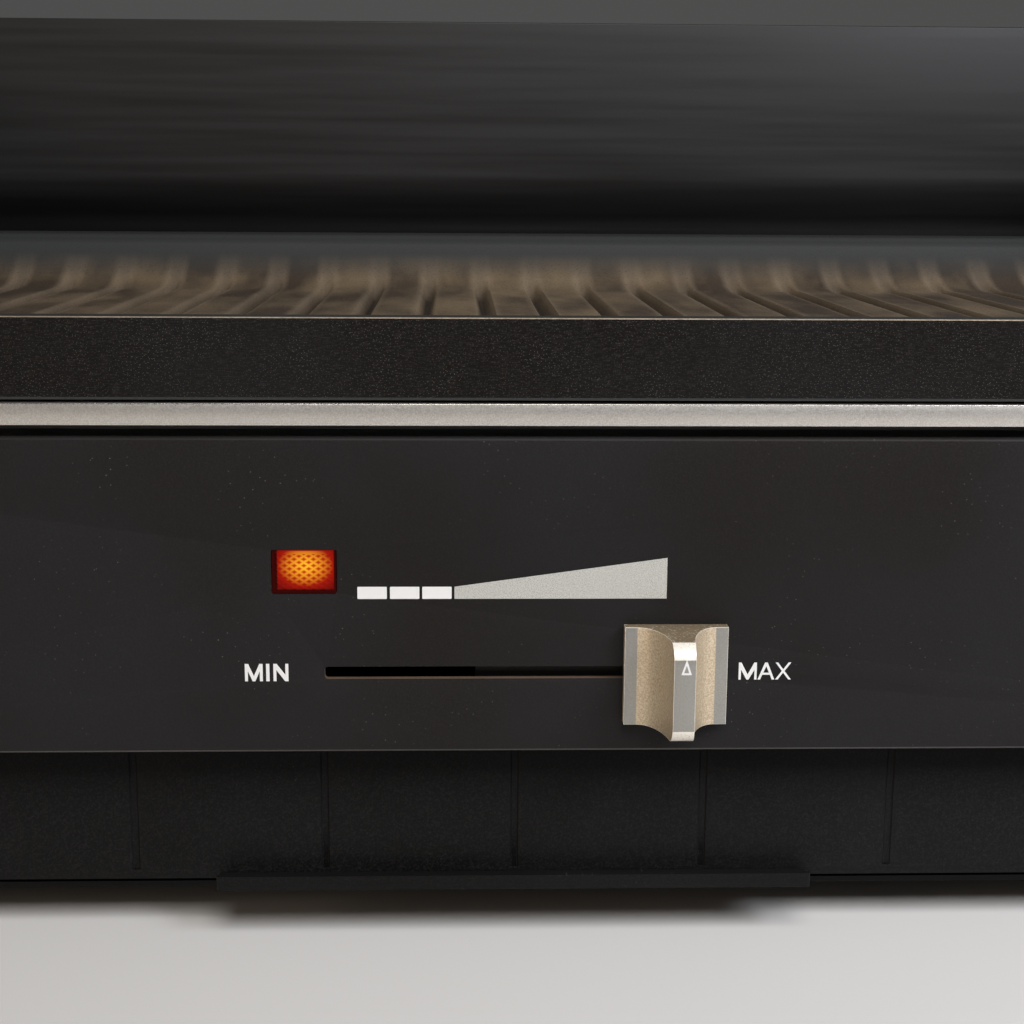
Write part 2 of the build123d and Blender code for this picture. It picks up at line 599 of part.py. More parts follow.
def element_bushes():
    z0 = REFLECTOR_FLOOR - 3
    return [ring(6, ELEMENT_R, (ELEMENT_END_X, y, z0), (ELEMENT_END_X, y, z0 + 3))
            + ring(8, ELEMENT_R, (ELEMENT_END_X, y, z0 - 2), (ELEMENT_END_X, y, z0)) for y in element_ends()]


def element_pins():
    return [rod(1.2, (ELEMENT_END_X, y, ELEMENT_END_Z - 4), (ELEMENT_END_X, y, ELEMENT_END_Z))
            + block(ELEMENT_END_X - 3.2, ELEMENT_END_X + 3.2, y - 0.4, y + 0.4,
                    ELEMENT_END_Z - 13, ELEMENT_END_Z - 4) for y in element_ends()]


BRACKET_XS = (-100.0, 0.0, 92.0)


def element_brackets():
    top = ELEMENT_Z
    floor = REFLECTOR_FLOOR + REFLECTOR_SHEET
    brackets = []
    for x in BRACKET_XS:
        comb = block(x, x + SHEET, 20, 140, floor, top)
        comb += block(x, x + 9, 20, 140, floor, floor + SHEET)
        for y in ELEMENT_ROWS:
            comb -= rod(ELEMENT_R + 0.1, (x - 1, y, ELEMENT_Z), (x + 3, y, ELEMENT_Z))
        comb -= rod(BULB_R + 0.1, (x - 1, BULB_Y, BULB_Z), (x + 3, BULB_Y, BULB_Z))
        brackets.append(comb)
    return brackets


def reflector_tray():
    floor, top = REFLECTOR_FLOOR, FASCIA_TOP + REFLECTOR_SHEET
    tray = block(-187, 187, 10.5, 162, FASCIA_TOP, top)
    tray += block(-181, 181, 12.6, 155, floor, top)
    tray -= block(-180, 180, 13.6, 154, floor + REFLECTOR_SHEET, top + 1)
    for y in element_ends():
        tray -= rod(6, (ELEMENT_END_X, y, floor - 1), (ELEMENT_END_X, y, floor + 3))
    tray -= rod(5, (*DRAIN, floor - 1), (*DRAIN, floor + 3))
    tray -= rod(3, (48, BULB_Y, floor - 1), (48, BULB_Y, floor + 3))
    for x, y in REFLECTOR_SCREW_PLACES:
        tray -= rod(1.6, (x, y, floor), (x, y, top + 1))
    return tray


def reflector_screws():
    seat_z = FASCIA_TOP + REFLECTOR_SHEET
    return [screw(2.4, 1.4, 1.45, 5, (x, y, seat_z), (0, 0, -1)) for x, y in REFLECTOR_SCREW_PLACES]


def grease_chute():
    """Down-pipe from the plate's drain to the drip tray, with a flared mouth."""
    mouth_z = TRIM_TOP - 1.7
    pipe = rod(5, (*DRAIN, TRAY_TOP + 2), (*DRAIN, mouth_z - 3))
    pipe += Pos(*DRAIN, mouth_z - 3) * Cone(5, 7.4, 3, align=(Align.CENTER, Align.CENTER, Align.MIN))
    pipe -= rod(4.2, (*DRAIN, TRAY_TOP), (*DRAIN, mouth_z - 3))
    pipe -= Pos(*DRAIN, mouth_z - 3) * Cone(4.2, 6.7, 3.01, align=(Align.CENTER, Align.CENTER, Align.MIN))
    return pipe


def sensor_bulb():
    bulb = rod(BULB_R, (-60, BULB_Y, BULB_Z), (20, BULB_Y, BULB_Z))
    return fillet(bulb.edges(), 1.2)


def capillary_tube():
    low_z = REFLECTOR_FLOOR - 2.7
    points = [(20, BULB_Y, BULB_Z), (48, BULB_Y, BULB_Z), (48, BULB_Y, low_z),
              (16, 24, low_z), (16, 24, PINION_Z + 17)]
    return wire(points, [7, 7, 2], 1.0)


def thermal_cutout():
    top = REFLECTOR_FLOOR
    body = rod(8, (60, 110, top - 4), (60, 110, top))
    body += rod(6.5, (60, 110, top - 11), (60, 110, top - 4))
    return body


def cutout_terminals():
    z0 = REFLECTOR_FLOOR - 11.8
    return [block(60 + side * 6 - 3.5, 60 + side * 6 + 3.5, 107, 113, z0, z0 + 0.8)
            + block(60 + side * 9 - 0.4, 60 + side * 9 + 0.4, 107, 113, z0 - 7, z0 + 0.8)
            for side in (-1, 1)]


# ---- mains entry ---------------------------------------------------------------
def cord_gland():
    x, z = GLAND
    gland = rod(7.9, (x, HOUSING_REAR - 6, z), (x, HOUSING_REAR, z))
    gland += rod(10, (x, HOUSING_REAR, z), (x, HOUSING_REAR + 2.5, z))
    gland += rod(9, (x, HOUSING_REAR - 9, z), (x, HOUSING_REAR - SHEET - GAP, z))
    return gland - rod(3.6, (x, HOUSING_REAR - 12, z), (x, HOUSING_REAR + 5, z))


BLOCK_X = (98.0, 128.0)
BLOCK_Z = (SLOT_Z + 4.0, SLOT_Z + 18.0)


def terminal_block():
    x0, x1 = BLOCK_X
    z0, z1 = BLOCK_Z
    rear = HOUSING_REAR - SHEET
    body = block(x0, x1, rear - 18, rear, z0, z1)
    for index in range(3):
        x = x0 + 5 + 10 * index
        body -= rod(2.4, (x, rear - 16, z0 - 1), (x, rear - 16, z0 + 4))
        body -= rod(2.4, (x, rear - 9, z1 - 5), (x, rear - 9, z1 + 1))
    return body


def terminal_screws():
    rear = HOUSING_REAR - SHEET
    z = BLOCK_Z[1]
    return [rod(2.3, (BLOCK_X[0] + 5 + 10 * index, rear - 9, z - 5),
                (BLOCK_X[0] + 5 + 10 * index, rear - 9, z - 2)) for index in range(3)]


def earth_screw():
    rear = HOUSING_REAR - SHEET
    return screw(4, 2.6, 1.95, 3.4, (EARTH_X, rear, EARTH_Z), (0, 1, 0))


# ---- drip tray and guard -------------------------------------------------------
def drip_tray():
    wall = 0.9
    pan = slab(TRAY_HALF, TRAY_FRONT, TRAY_BACK, TRAY_BOTTOM, TRAY_TOP, 4)
    pan -= slab(TRAY_HALF - wall, TRAY_FRONT + wall, TRAY_BACK - wall, TRAY_BOTTOM + wall, TRAY_TOP + 1, 3.1)
    panel = block(-TRAY_PANEL_HALF, TRAY_PANEL_HALF, TRAY_FRONT, TRAY_FRONT + SHEET, 11.4, FASCIA_BOTTOM - 1)
    for index in range(-4, 5):
        x = index * GROOVE_PITCH
        panel -= block(x - 0.7, x + 0.7, TRAY_FRONT - 1, TRAY_FRONT + 0.5, 13.2, FASCIA_BOTTOM)
    lip = block(-60, 60, 3.5, TRAY_FRONT + 0.2, 11.4, 11.4 + SHEET)
    lip += block(-60, 60, 3.5, 3.5 + SHEET, 11.4, 14.4)
    return pan + panel + lip


def tray_runner(side):
    x0, x1 = sorted((side * 169, side * (169 + SHEET)))
    runner = block(x0, x1, 14, 160, HOUSING_BOTTOM, 22)
    x0, x1 = sorted((side * 160, side * 169))
    return runner + block(x0, x1, 14, 160, TRAY_BOTTOM - GAP - SHEET, TRAY_BOTTOM - GAP)


GUARD_LOW_Y = 166.0
GUARD_HIGH_Y = 161.5


def splash_guard():
    """Folded sheet: stepped rear wall and two wings that fall away to the front."""
    inner = PLATE_HALF + 1.3
    outer = inner + SHEET
    foot = TRIM_TOP + GAP
    rear = side_profile(Polyline((GUARD_LOW_Y, foot), (GUARD_LOW_Y, GUARD_STEP_Z),
                                 (GUARD_HIGH_Y, GUARD_STEP_Z + 2.5), (GUARD_HIGH_Y, GUARD_TOP),
                                 (GUARD_HIGH_Y + SHEET, GUARD_TOP), (GUARD_HIGH_Y + SHEET, GUARD_STEP_Z + 3.1),
                                 (GUARD_LOW_Y + SHEET, GUARD_STEP_Z + 0.6), (GUARD_LOW_Y + SHEET, foot),
                                 close=True), outer)
    wing_face = make_face(Polyline((28, foot), (28, SLOT_Z + 76), (62, SLOT_Z + 114),
                                   (GUARD_HIGH_Y - 20, GUARD_TOP),
                                   (GUARD_HIGH_Y + SHEET, GUARD_TOP), (GUARD_HIGH_Y + SHEET, GUARD_STEP_Z + 3.1),
                                   (GUARD_LOW_Y + SHEET, GUARD_STEP_Z + 0.6), (GUARD_LOW_Y + SHEET, foot),
                                   close=True))
    corners = [corner for corner in wing_face.vertices() if corner.Y > 120 and corner.X < 150]
    wings = extrude(Plane.YZ * fillet(corners, 12), outer, both=True)
    wings -= block(-inner, inner, 0, 200, 0, 300)
    guard = rear + wings
    for x in GUARD_TAB_X:
        guard += block(x - 10, x + 10, GUARD_LOW_Y, GUARD_LOW_Y + SHEET, TRIM_TOP - 4.5, foot + 1)
    return guard


# ---- internal leads ------------------------------------------------------------
LEAD_R = 1.1


def leads():
    """Insulated leads, each from one terminal to the next, clear of the drip tray."""
    top_y = HOUSING_REAR - SHEET - 16
    end_x = ELEMENT_END_X
    tab_z = ELEMENT_END_Z - 13
    cutout_z = REFLECTOR_FLOOR - 18.8
    load_z = SLOT_Z - 8
    neutral_z = SLOT_Z - 10
    live_tab = (11, BRACKET_BACK + 35, PINION_Z - 4)
    load_tab = (-11, BRACKET_BACK + 35, PINION_Z - 4)
    return {
        "lead_supply": wire([(BLOCK_X[0] + 5, top_y, BLOCK_Z[0]), (BLOCK_X[0] + 5, top_y, SLOT_Z - 6),
                             (69, 110, SLOT_Z - 6), (69, 110, cutout_z)], [4, 8], LEAD_R),
        "lead_cutout": wire([(51, 110, cutout_z), (51, 110, SLOT_Z), (11, 84, SLOT_Z),
                             (11, 84, PINION_Z - 4), live_tab], [6, 5, 6], LEAD_R),
        "lead_heater": wire([load_tab, (-11, 78, PINION_Z - 4), (-11, 78, load_z), (end_x, 30, load_z),
                             (end_x, 30, tab_z)], [6, 6, 8], LEAD_R),
        "lead_neutral": wire([(end_x, 130, tab_z), (end_x, 130, neutral_z),
                              (BLOCK_X[0] + 15, top_y, neutral_z),
                              (BLOCK_X[0] + 15, top_y, BLOCK_Z[0])], [7, 5], LEAD_R),
    }


def main():
    os.makedirs("parts", exist_ok=True)
    write("grill_plate", grill_plate())
    write("trim_frame", trim_frame())
    write("trim_spacers", *trim_spacers())
    write("trim_screws", *trim_screws())
    write("front_fascia", front_fascia())
    write("fascia_studs", *fascia_studs())
    write("stud_nuts", *stud_nuts())
    write("fascia_screws", *fascia_screws())
    write("base_housing", base_housing())
    write("bottom_cover", bottom_cover())
    write("cover_screws", *cover_screws())
    for name, (x, y) in FOOT_PLACES.items():
        write(name, rubber_foot(x, y))
    write("foot_screws", *foot_screws())
    write("foot_nuts", *foot_nuts())
    write("slider_knob", slider_knob())
    write("slider_carriage", slider_carriage())
    write("slider_rail", slider_rail())
    write("thermostat_bracket", thermostat_bracket())
    write("thermostat_body", thermostat_body())
    write("thermostat_ceramic", thermostat_ceramic())
    write("thermostat_terminals", *thermostat_terminals())
    write("thermostat_screws", *thermostat_screws())
    write("thermostat_spindle", thermostat_spindle())
    write("spindle_pinion", spindle_pinion())
    write("pinion_clip", pinion_clip())
    write("pilot_lens", pilot_lens())
    write("pilot_housing", pilot_housing())
    write("neon_bulb", neon_bulb())
    write("pilot_terminals", *pilot_terminals())
    write("heating_element", heating_element())
    write("element_bushes", *element_bushes())
    write("element_pins", *element_pins())
    write("element_brackets", *element_brackets())
    write("reflector_tray", reflector_tray())
    write("reflector_screws", *reflector_screws())
    write("grease_chute", grease_chute())
    write("sensor_bulb", sensor_bulb())
    write("capillary_tube", capillary_tube())
    write("thermal_cutout", thermal_cutout())
    write("cutout_terminals", *cutout_terminals())
    write("cord_gland", cord_gland())
    write("terminal_block", terminal_block())
    write("terminal_screws", *terminal_screws())
    write("earth_screw", earth_screw())
    write("drip_tray", drip_tray())
    write("tray_runner_left", tray_runner(-1))
    write("tray_runner_right", tray_runner(1))
    write("splash_guard", splash_guard())
    for name, lead in leads().items():
        write(name, lead)


main()
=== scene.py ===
import json
import math

import bpy
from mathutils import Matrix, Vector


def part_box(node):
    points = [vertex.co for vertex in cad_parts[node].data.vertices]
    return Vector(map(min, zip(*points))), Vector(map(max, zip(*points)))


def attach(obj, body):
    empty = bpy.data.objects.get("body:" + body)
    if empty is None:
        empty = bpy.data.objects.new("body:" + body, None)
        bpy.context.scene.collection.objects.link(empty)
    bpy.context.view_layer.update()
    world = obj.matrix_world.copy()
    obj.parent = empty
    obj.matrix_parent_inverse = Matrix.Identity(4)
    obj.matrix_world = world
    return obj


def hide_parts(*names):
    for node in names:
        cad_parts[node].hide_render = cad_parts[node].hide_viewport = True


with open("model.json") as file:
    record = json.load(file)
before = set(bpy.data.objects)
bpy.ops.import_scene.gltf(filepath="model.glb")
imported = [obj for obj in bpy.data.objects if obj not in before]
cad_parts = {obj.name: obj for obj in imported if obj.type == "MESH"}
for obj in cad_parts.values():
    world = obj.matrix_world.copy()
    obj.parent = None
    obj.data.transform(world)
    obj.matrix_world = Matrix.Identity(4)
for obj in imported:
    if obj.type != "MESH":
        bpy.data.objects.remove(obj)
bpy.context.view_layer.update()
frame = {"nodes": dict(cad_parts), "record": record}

# Table-top electric grill: the looks around the frame. Metres, X right, Y back, Z up.
MM = 0.001

# ---- places read from the frame ----
panel_low, panel_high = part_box("front_fascia")
plate_low, plate_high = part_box("grill_plate")
trim_low, trim_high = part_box("trim_frame")
knob_low, knob_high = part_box("slider_knob")
lens_low, lens_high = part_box("pilot_lens")
tray_low, tray_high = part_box("drip_tray")
guard_low, guard_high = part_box("splash_guard")
PANEL_Y = panel_low.y
SLOT_Z = (knob_low.z + knob_high.z) / 2
KNOB_X = (knob_low.x + knob_high.x) / 2

# ribs of the hot plate, in millimetres
RIB_PITCH = 13.2
RIB_COUNT = 27
RIB_SHIFT = 1.15


# ---- small helpers for modelling ----
def lone(obj):
    """Select one object only and make it the active one."""
    bpy.ops.object.select_all(action="DESELECT")
    obj.select_set(True)
    bpy.context.view_layer.objects.active = obj


def settle(obj, name=None):
    """Put the object's place into its mesh."""
    lone(obj)
    if name:
        obj.name = name
        obj.data.name = name
    bpy.ops.object.transform_apply(location=True, rotation=True, scale=True)
    return obj


def cube(name, low, high):
    """Six-sided start between two corners."""
    bpy.ops.object.select_all(action="DESELECT")
    middle = [(a + b) / 2 for a, b in zip(low, high)]
    bpy.ops.mesh.primitive_cube_add(size=1, location=middle)
    obj = bpy.context.object
    obj.scale = [b - a for a, b in zip(low, high)]
    return settle(obj, name)


def round_bar(name, radius, start, length, axis, sides=48):
    """Round start, from a point along X, Y or Z."""
    bpy.ops.object.select_all(action="DESELECT")
    turn = {"X": (0, math.pi / 2, 0), "Y": (math.pi / 2, 0, 0), "Z": (0, 0, 0)}[axis]
    middle = list(start)
    middle["XYZ".index(axis)] += length / 2
    bpy.ops.mesh.primitive_cylinder_add(vertices=sides, radius=radius, depth=length,
                                        location=middle, rotation=turn)
    return settle(bpy.context.object, name)


def edit_faces(obj, wanted):
    """Enter edit mode with the wanted faces selected, and nothing else."""
    lone(obj)
    bpy.ops.object.mode_set(mode="EDIT")
    bpy.ops.mesh.select_mode(type="FACE")
    bpy.ops.mesh.select_all(action="DESELECT")
    bpy.ops.object.mode_set(mode="OBJECT")
    for face in obj.data.polygons:
        face.select = wanted(face.center, face.normal)
    bpy.ops.object.mode_set(mode="EDIT")


def edit_edges(obj, wanted):
    """Enter edit mode with the wanted edges selected: wanted gets the two ends."""
    lone(obj)
    bpy.ops.object.mode_set(mode="EDIT")
    bpy.ops.mesh.select_mode(type="EDGE")
    bpy.ops.mesh.select_all(action="DESELECT")
    bpy.ops.object.mode_set(mode="OBJECT")
    points = obj.data.vertices
    for edge in obj.data.edges:
        a, b = edge.vertices
        edge.select = wanted(points[a].co, points[b].co)
    bpy.ops.object.mode_set(mode="EDIT")


def leave():
    bpy.ops.object.mode_set(mode="OBJECT")


def upright(a, b):
    """An edge that runs up and down."""
    return abs(a.x - b.x) < 1e-6 and abs(a.y - b.y) < 1e-6


def rounded_block(name, low, high, radius, segments=8):
    """Block with its four upright edges rounded."""
    obj = cube(name, low, high)
    edit_edges(obj, upright)
    bpy.ops.mesh.bevel(offset=radius, segments=segments, affect="EDGES")
    leave()
    return obj


def combine(obj, tool, operation="DIFFERENCE"):
    """Cut, join or trim with another solid, which is used up."""
    lone(obj)
    step = obj.modifiers.new("combine", "BOOLEAN")
    step.operation = operation
    step.solver = "EXACT"
    step.object = tool
    bpy.ops.object.modifier_apply(modifier=step.name)
    bpy.data.objects.remove(tool)


def soften(obj, width, segments=3, angle=30, material=-1):
    """Round the sharp edges a little, and shade the rest smooth."""
    lone(obj)
    step = obj.modifiers.new("soften", "BEVEL")
    step.width = width
    step.segments = segments
    step.limit_method = "ANGLE"
    step.angle_limit = math.radians(angle)
    step.use_clamp_overlap = True
    step.material = material
    bpy.ops.object.modifier_apply(modifier=step.name)
    bpy.ops.object.shade_smooth_by_angle(angle=math.radians(angle))


def dress(obj, *materials):
    """Give a piece its materials, first to last."""
    obj.data.materials.clear()
    for material in materials:
        obj.data.materials.append(material)


def paint_faces(obj, index, wanted):
    """Give the wanted faces another of the piece's materials."""
    for face in obj.data.polygons:
        if wanted(face.center, face.normal):
            face.material_index = index


def join(first, *others):
    """Make several meshes one piece."""
    bpy.ops.object.select_all(action="DESELECT")
    for obj in others:
        obj.select_set(True)
    first.select_set(True)
    bpy.context.view_layer.objects.active = first
    bpy.ops.object.join()
    return first


def fit(piece, body, slot, *nodes):
    """Hang a finished piece on its body in place of its plain solids."""
    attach(piece, body)
    if nodes:
        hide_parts(*nodes)


# ---- small helpers for materials ----
def linear(code):
    """sRGB hex to linear colour."""
    parts = [int(code[place:place + 2], 16) / 255 for place in (0, 2, 4)]
    return [part / 12.92 if part <= 0.04045 else ((part + 0.055) / 1.055) ** 2.4 for part in parts] + [1.0]


def add_node(tree, kind, inputs=None, **settings):
    """One node with its settings, its input values and its links."""
    made = tree.nodes.new(kind)
    for name, value in settings.items():
        setattr(made, name, value)
    for socket, value in (inputs or {}).items():
        if isinstance(value, bpy.types.NodeSocket):
            tree.links.new(value, made.inputs[socket])
        else:
            made.inputs[socket].default_value = value
    return made


def begin(name, **shader):
    """New material: returns it with its tree, its shader and the object coordinates."""
    made = bpy.data.materials.new(name)
    made.use_nodes = True
    tree = made.node_tree
    surface = tree.nodes["Principled BSDF"]
    for socket, value in shader.items():
        surface.inputs[socket.replace("_", " ")].default_value = value
    place = tree.nodes.new("ShaderNodeTexCoord").outputs["Object"]
    return made, tree, surface, place


def noise(tree, place, size, detail=3.0, stretch=(1, 1, 1)):
    """Noise whose blobs are about size metres across, drawn out along an axis by stretch."""
    scale = [1 / (size * factor) for factor in stretch]
    spread = add_node(tree, "ShaderNodeMapping", {"Vector": place, "Scale": scale})
    return add_node(tree, "ShaderNodeTexNoise",
                    {"Vector": spread.outputs["Vector"], "Scale": 1.0, "Detail": detail}).outputs["Fac"]


def ramp(tree, value, low, high, start=0.0, end=1.0):
    """Map low..high to start..end, and hold outside."""
    return add_node(tree, "ShaderNodeMapRange", {"Value": value, "From Min": low, "From Max": high,
                                                 "To Min": start, "To Max": end}).outputs["Result"]


def mix(tree, share, first, second):
    """Colour between two colours."""
    return add_node(tree, "ShaderNodeMix", {0: share, 6: first, 7: second}, data_type="RGBA").outputs[2]


def relief(tree, surface, height, depth):
    """Bump of a real depth in metres."""
    bump = add_node(tree, "ShaderNodeBump", {"Height": height, "Distance": depth, "Strength": 1.0})
    tree.links.new(bump.outputs["Normal"], surface.inputs["Normal"])


def flecks(tree, place, cell, radius, flat=True):
    """Scattered round specks: 1 on a speck, 0 between. One speck to a cell."""
    if flat:
        place = add_node(tree, "ShaderNodeMapping",
                         {"Vector": place, "Rotation": (math.radians(90), 0, 0)}).outputs["Vector"]
    cells = add_node(tree, "ShaderNodeTexVoronoi", {"Vector": place, "Scale": 1 / cell},
                     voronoi_dimensions="2D" if flat else "3D")
    return ramp(tree, cells.outputs["Distance"], radius / cell * 0.7, radius / cell, 1.0, 0.0)


# ---- materials ----
def powder_coat(name, deep, pale, grain=0.35 * MM, dust=0.5):
    """Baked powder coat: satin, with a fine orange peel and a few specks of dust."""
    made, tree, surface, place = begin(name, Roughness=0.5, IOR=1.5, Specular_IOR_Level=0.13)
    cloud = noise(tree, place, 60 * MM, 4)
    fine = noise(tree, place, grain, 2)
    shade = mix(tree, ramp(tree, cloud, 0.35, 0.65), linear(deep), linear(pale))
    mottled = mix(tree, ramp(tree, fine, 0.45, 0.75, 0.0, 0.3), shade, linear("35322f"))
    gathered = ramp(tree, noise(tree, place, 14 * MM, 2), 0.5, 0.75, 0.0, dust)
    speck = add_node(tree, "ShaderNodeMath", {0: flecks(tree, place, 3.1 * MM, 0.13 * MM), 1: gathered},
                     operation="MULTIPLY").outputs[0]
    tree.links.new(mix(tree, speck, mottled, linear("7d766c")), surface.inputs["Base Color"])
    tree.links.new(ramp(tree, fine, 0.3, 0.7, 0.4, 0.56), surface.inputs["Roughness"])
    relief(tree, surface, fine, 0.012 * MM)
    return made


def guard_enamel():
    """Dark grey enamel on sheet steel: faint level streaks, and painted shade that darkens it towards its
    foot.
    """
    made, tree, surface, place = begin("dark_grey_enamel_guard", Roughness=0.45, IOR=1.5,
                                       Specular_IOR_Level=0.3)
    streaks = noise(tree, place, 3 * MM, 3, (30, 1, 1))
    fine = noise(tree, place, 0.5 * MM, 2)
    height = add_node(tree, "ShaderNodeSeparateXYZ", {"Vector": place}).outputs["Z"]
    enamel = mix(tree, ramp(tree, streaks, 0.3, 0.7), linear("1c1b1a"), linear("262525"))
    # darker towards the foot: painted shade below the jog and behind the plate's rear rim
    foot = ramp(tree, height, guard_low.z + 35 * MM, guard_low.z + 46 * MM, 0.95, 0.0)
    painted_shade_foot = mix(tree, foot, enamel, linear("090808"))
    tree.links.new(painted_shade_foot, surface.inputs["Base Color"])
    tree.links.new(ramp(tree, streaks, 0.3, 0.7, 0.4, 0.52), surface.inputs["Roughness"])
    relief(tree, surface, fine, 0.01 * MM)
    return made


def brushed_metal(name, deep, pale, rough):
    """Ground or brushed metal: long fine lines one way, with brightness that varies line by line."""
    made, tree, surface, place = begin(name, Metallic=1.0, Roughness=rough)
    lines = noise(tree, place, 0.12 * MM, 2, (120, 1, 1))
    broad = noise(tree, place, 25 * MM, 3)
    shade = mix(tree, ramp(tree, lines, 0.3, 0.7), linear(deep), linear(pale))
    final = mix(tree, ramp(tree, broad, 0.35, 0.7, 0.0, 0.3), shade, linear(pale))
    tree.links.new(final, surface.inputs["Base Color"])
    tree.links.new(ramp(tree, lines, 0.3, 0.7, rough * 0.85, rough * 1.2), surface.inputs["Roughness"])
    relief(tree, surface, lines, 0.004 * MM)
    return made


def plain_metal(name, code, rough):
    """Plated or drawn metal with light handling marks."""
    made, tree, surface, place = begin(name, Metallic=1.0, Roughness=rough)
    marks = noise(tree, place, 0.4 * MM, 4)
    cloud = noise(tree, place, 12 * MM, 3)
    dull = [part * 0.75 for part in linear(code)[:3]] + [1]
    shade = mix(tree, ramp(tree, cloud, 0.3, 0.7), linear(code), dull)
    tree.links.new(shade, surface.inputs["Base Color"])
    tree.links.new(ramp(tree, marks, 0.3, 0.7, rough * 0.8, rough * 1.3), surface.inputs["Roughness"])
    relief(tree, surface, marks, 0.004 * MM)
    return made


def moulded(name, code, rough, ior=1.5):
    """Moulded plastic, rubber or ceramic: dull, with the fine grain of its mould."""
    made, tree, surface, place = begin(name, Roughness=rough, IOR=ior)
    fine = noise(tree, place, 0.3 * MM, 3)
    cloud = noise(tree, place, 15 * MM, 3)
    pale = [min(1.0, part * 1.35 + 0.002) for part in linear(code)[:3]] + [1]
    shade = mix(tree, ramp(tree, cloud, 0.3, 0.7), linear(code), pale)
    tree.links.new(shade, surface.inputs["Base Color"])
    dullness = ramp(tree, fine, 0.3, 0.7, rough * 0.9, min(1.0, rough * 1.15))
    tree.links.new(dullness, surface.inputs["Roughness"])
    relief(tree, surface, fine, 0.006 * MM)
    return made


def nonstick_coating():
    """Fluoropolymer coating on cast aluminium: warm grey-brown and matt on the ribs, painted greyer on the
    walls as a painted reflection, with painted shade in the grooves and towards the sides, and lighter crest
    edges that are partly rubbed wear and partly a painted highlight.
    """
    made, tree, surface, place = begin("nonstick_on_cast_aluminium", Roughness=0.5, IOR=1.4)
    axes = add_node(tree, "ShaderNodeSeparateXYZ", {"Vector": place}).outputs
    grit = noise(tree, place, 0.5 * MM, 3)
    cloud = noise(tree, place, 16 * MM, 4, (1, 2.5, 1))
    across = add_node(tree, "ShaderNodeMath", {0: axes["X"], 1: RIB_SHIFT * MM},
                      operation="SUBTRACT").outputs[0]
    off_crest = add_node(tree, "ShaderNodeMath", {0: across, 1: RIB_PITCH / 2 * MM},
                         operation="PINGPONG").outputs[0]
    fade = ramp(tree, axes["Y"], PANEL_Y + 112 * MM, PANEL_Y + 131 * MM, 0.9, 0.1)
    groove = add_node(tree, "ShaderNodeMath", {0: ramp(tree, off_crest, 4.9 * MM, 6.2 * MM), 1: fade},
                      operation="MULTIPLY").outputs[0]
    aside = add_node(tree, "ShaderNodeMath", {0: axes["X"]}, operation="ABSOLUTE").outputs[0]
    # painted shade: the ribs are made lighter in the middle and darker towards both sides
    patches_and_painted_side_shade = add_node(tree, "ShaderNodeMath", {0: ramp(tree, cloud, 0.35, 0.68),
                                              1: ramp(tree, aside, 10 * MM, 140 * MM, 0.15, -0.4)},
                     operation="ADD").outputs[0]
    brown = mix(tree, ramp(tree, patches_and_painted_side_shade, 0.0, 1.0), linear("40362c"), linear("766650"))
    # crest edges painted lighter: partly rubbed wear, partly a painted highlight
    rubbed_and_painted_highlight = mix(tree, ramp(tree, off_crest, 3.2 * MM, 4.8 * MM, 0.0, 0.4), brown, linear("8a7a66"))
    # grooves painted dark: painted shade in the grooves, fading out towards the back
    ribs = mix(tree, groove, rubbed_and_painted_highlight, linear("231e19"))
    behind = ramp(tree, axes["Y"], PANEL_Y + 129 * MM, PANEL_Y + 137 * MM)
    beside = ramp(tree, aside, 178 * MM, 183 * MM)
    before = ramp(tree, axes["Y"], PANEL_Y + 23 * MM, PANEL_Y + 27 * MM, 1.0, 0.0)
    wall = add_node(tree, "ShaderNodeMath", {0: behind, 1: beside}, operation="MAXIMUM").outputs[0]
    wall = add_node(tree, "ShaderNodeMath", {0: wall, 1: before}, operation="MAXIMUM").outputs[0]
    # rear wall, side walls and front flat painted grey instead of brown: a painted reflection
    tone_with_painted_wall_reflection = mix(tree, wall, ribs, linear("313232"))
    speckled = mix(tree, ramp(tree, grit, 0.52, 0.78, 0.0, 0.5), tone_with_painted_wall_reflection, linear("1d1a17"))
    tree.links.new(speckled, surface.inputs["Base Color"])
    tree.links.new(ramp(tree, grit, 0.3, 0.7, 0.38, 0.55), surface.inputs["Roughness"])
    relief(tree, surface, grit, 0.04 * MM)
    return made


def machined_edge():
    """Milled and black-coated rim of the casting: fine level tool lines with bright metal sparkle."""
    made, tree, surface, place = begin("black_coated_machined_rim", Roughness=0.42, IOR=1.5,
                                       Specular_IOR_Level=0.15)
    lines = noise(tree, place, 0.14 * MM, 2, (14, 1, 1))
    grain = noise(tree, place, 0.2 * MM, 2, (2.5, 1, 1))
    cloud = noise(tree, place, 45 * MM, 3)
    tint = mix(tree, ramp(tree, cloud, 0.35, 0.65), linear("0f0c0b"), linear("151414"))
    lined = mix(tree, ramp(tree, lines, 0.5, 0.8, 0.0, 0.6), tint, linear("3a3633"))
    grained = mix(tree, ramp(tree, grain, 0.6, 0.8, 0.0, 0.4), lined, linear("4c4844"))
    sparkle = flecks(tree, place, 0.7 * MM, 0.07 * MM)
    bright = ramp(tree, noise(tree, place, 6 * MM, 3), 0.35, 0.75, 0.1, 0.5)
    share = add_node(tree, "ShaderNodeMath", {0: sparkle, 1: bright}, operation="MULTIPLY").outputs[0]
    tree.links.new(mix(tree, share, grained, linear("a39c92")), surface.inputs["Base Color"])
    tree.links.new(ramp(tree, lines, 0.3, 0.7, 0.34, 0.5), surface.inputs["Roughness"])
    relief(tree, surface, lines, 0.015 * MM)
    return made


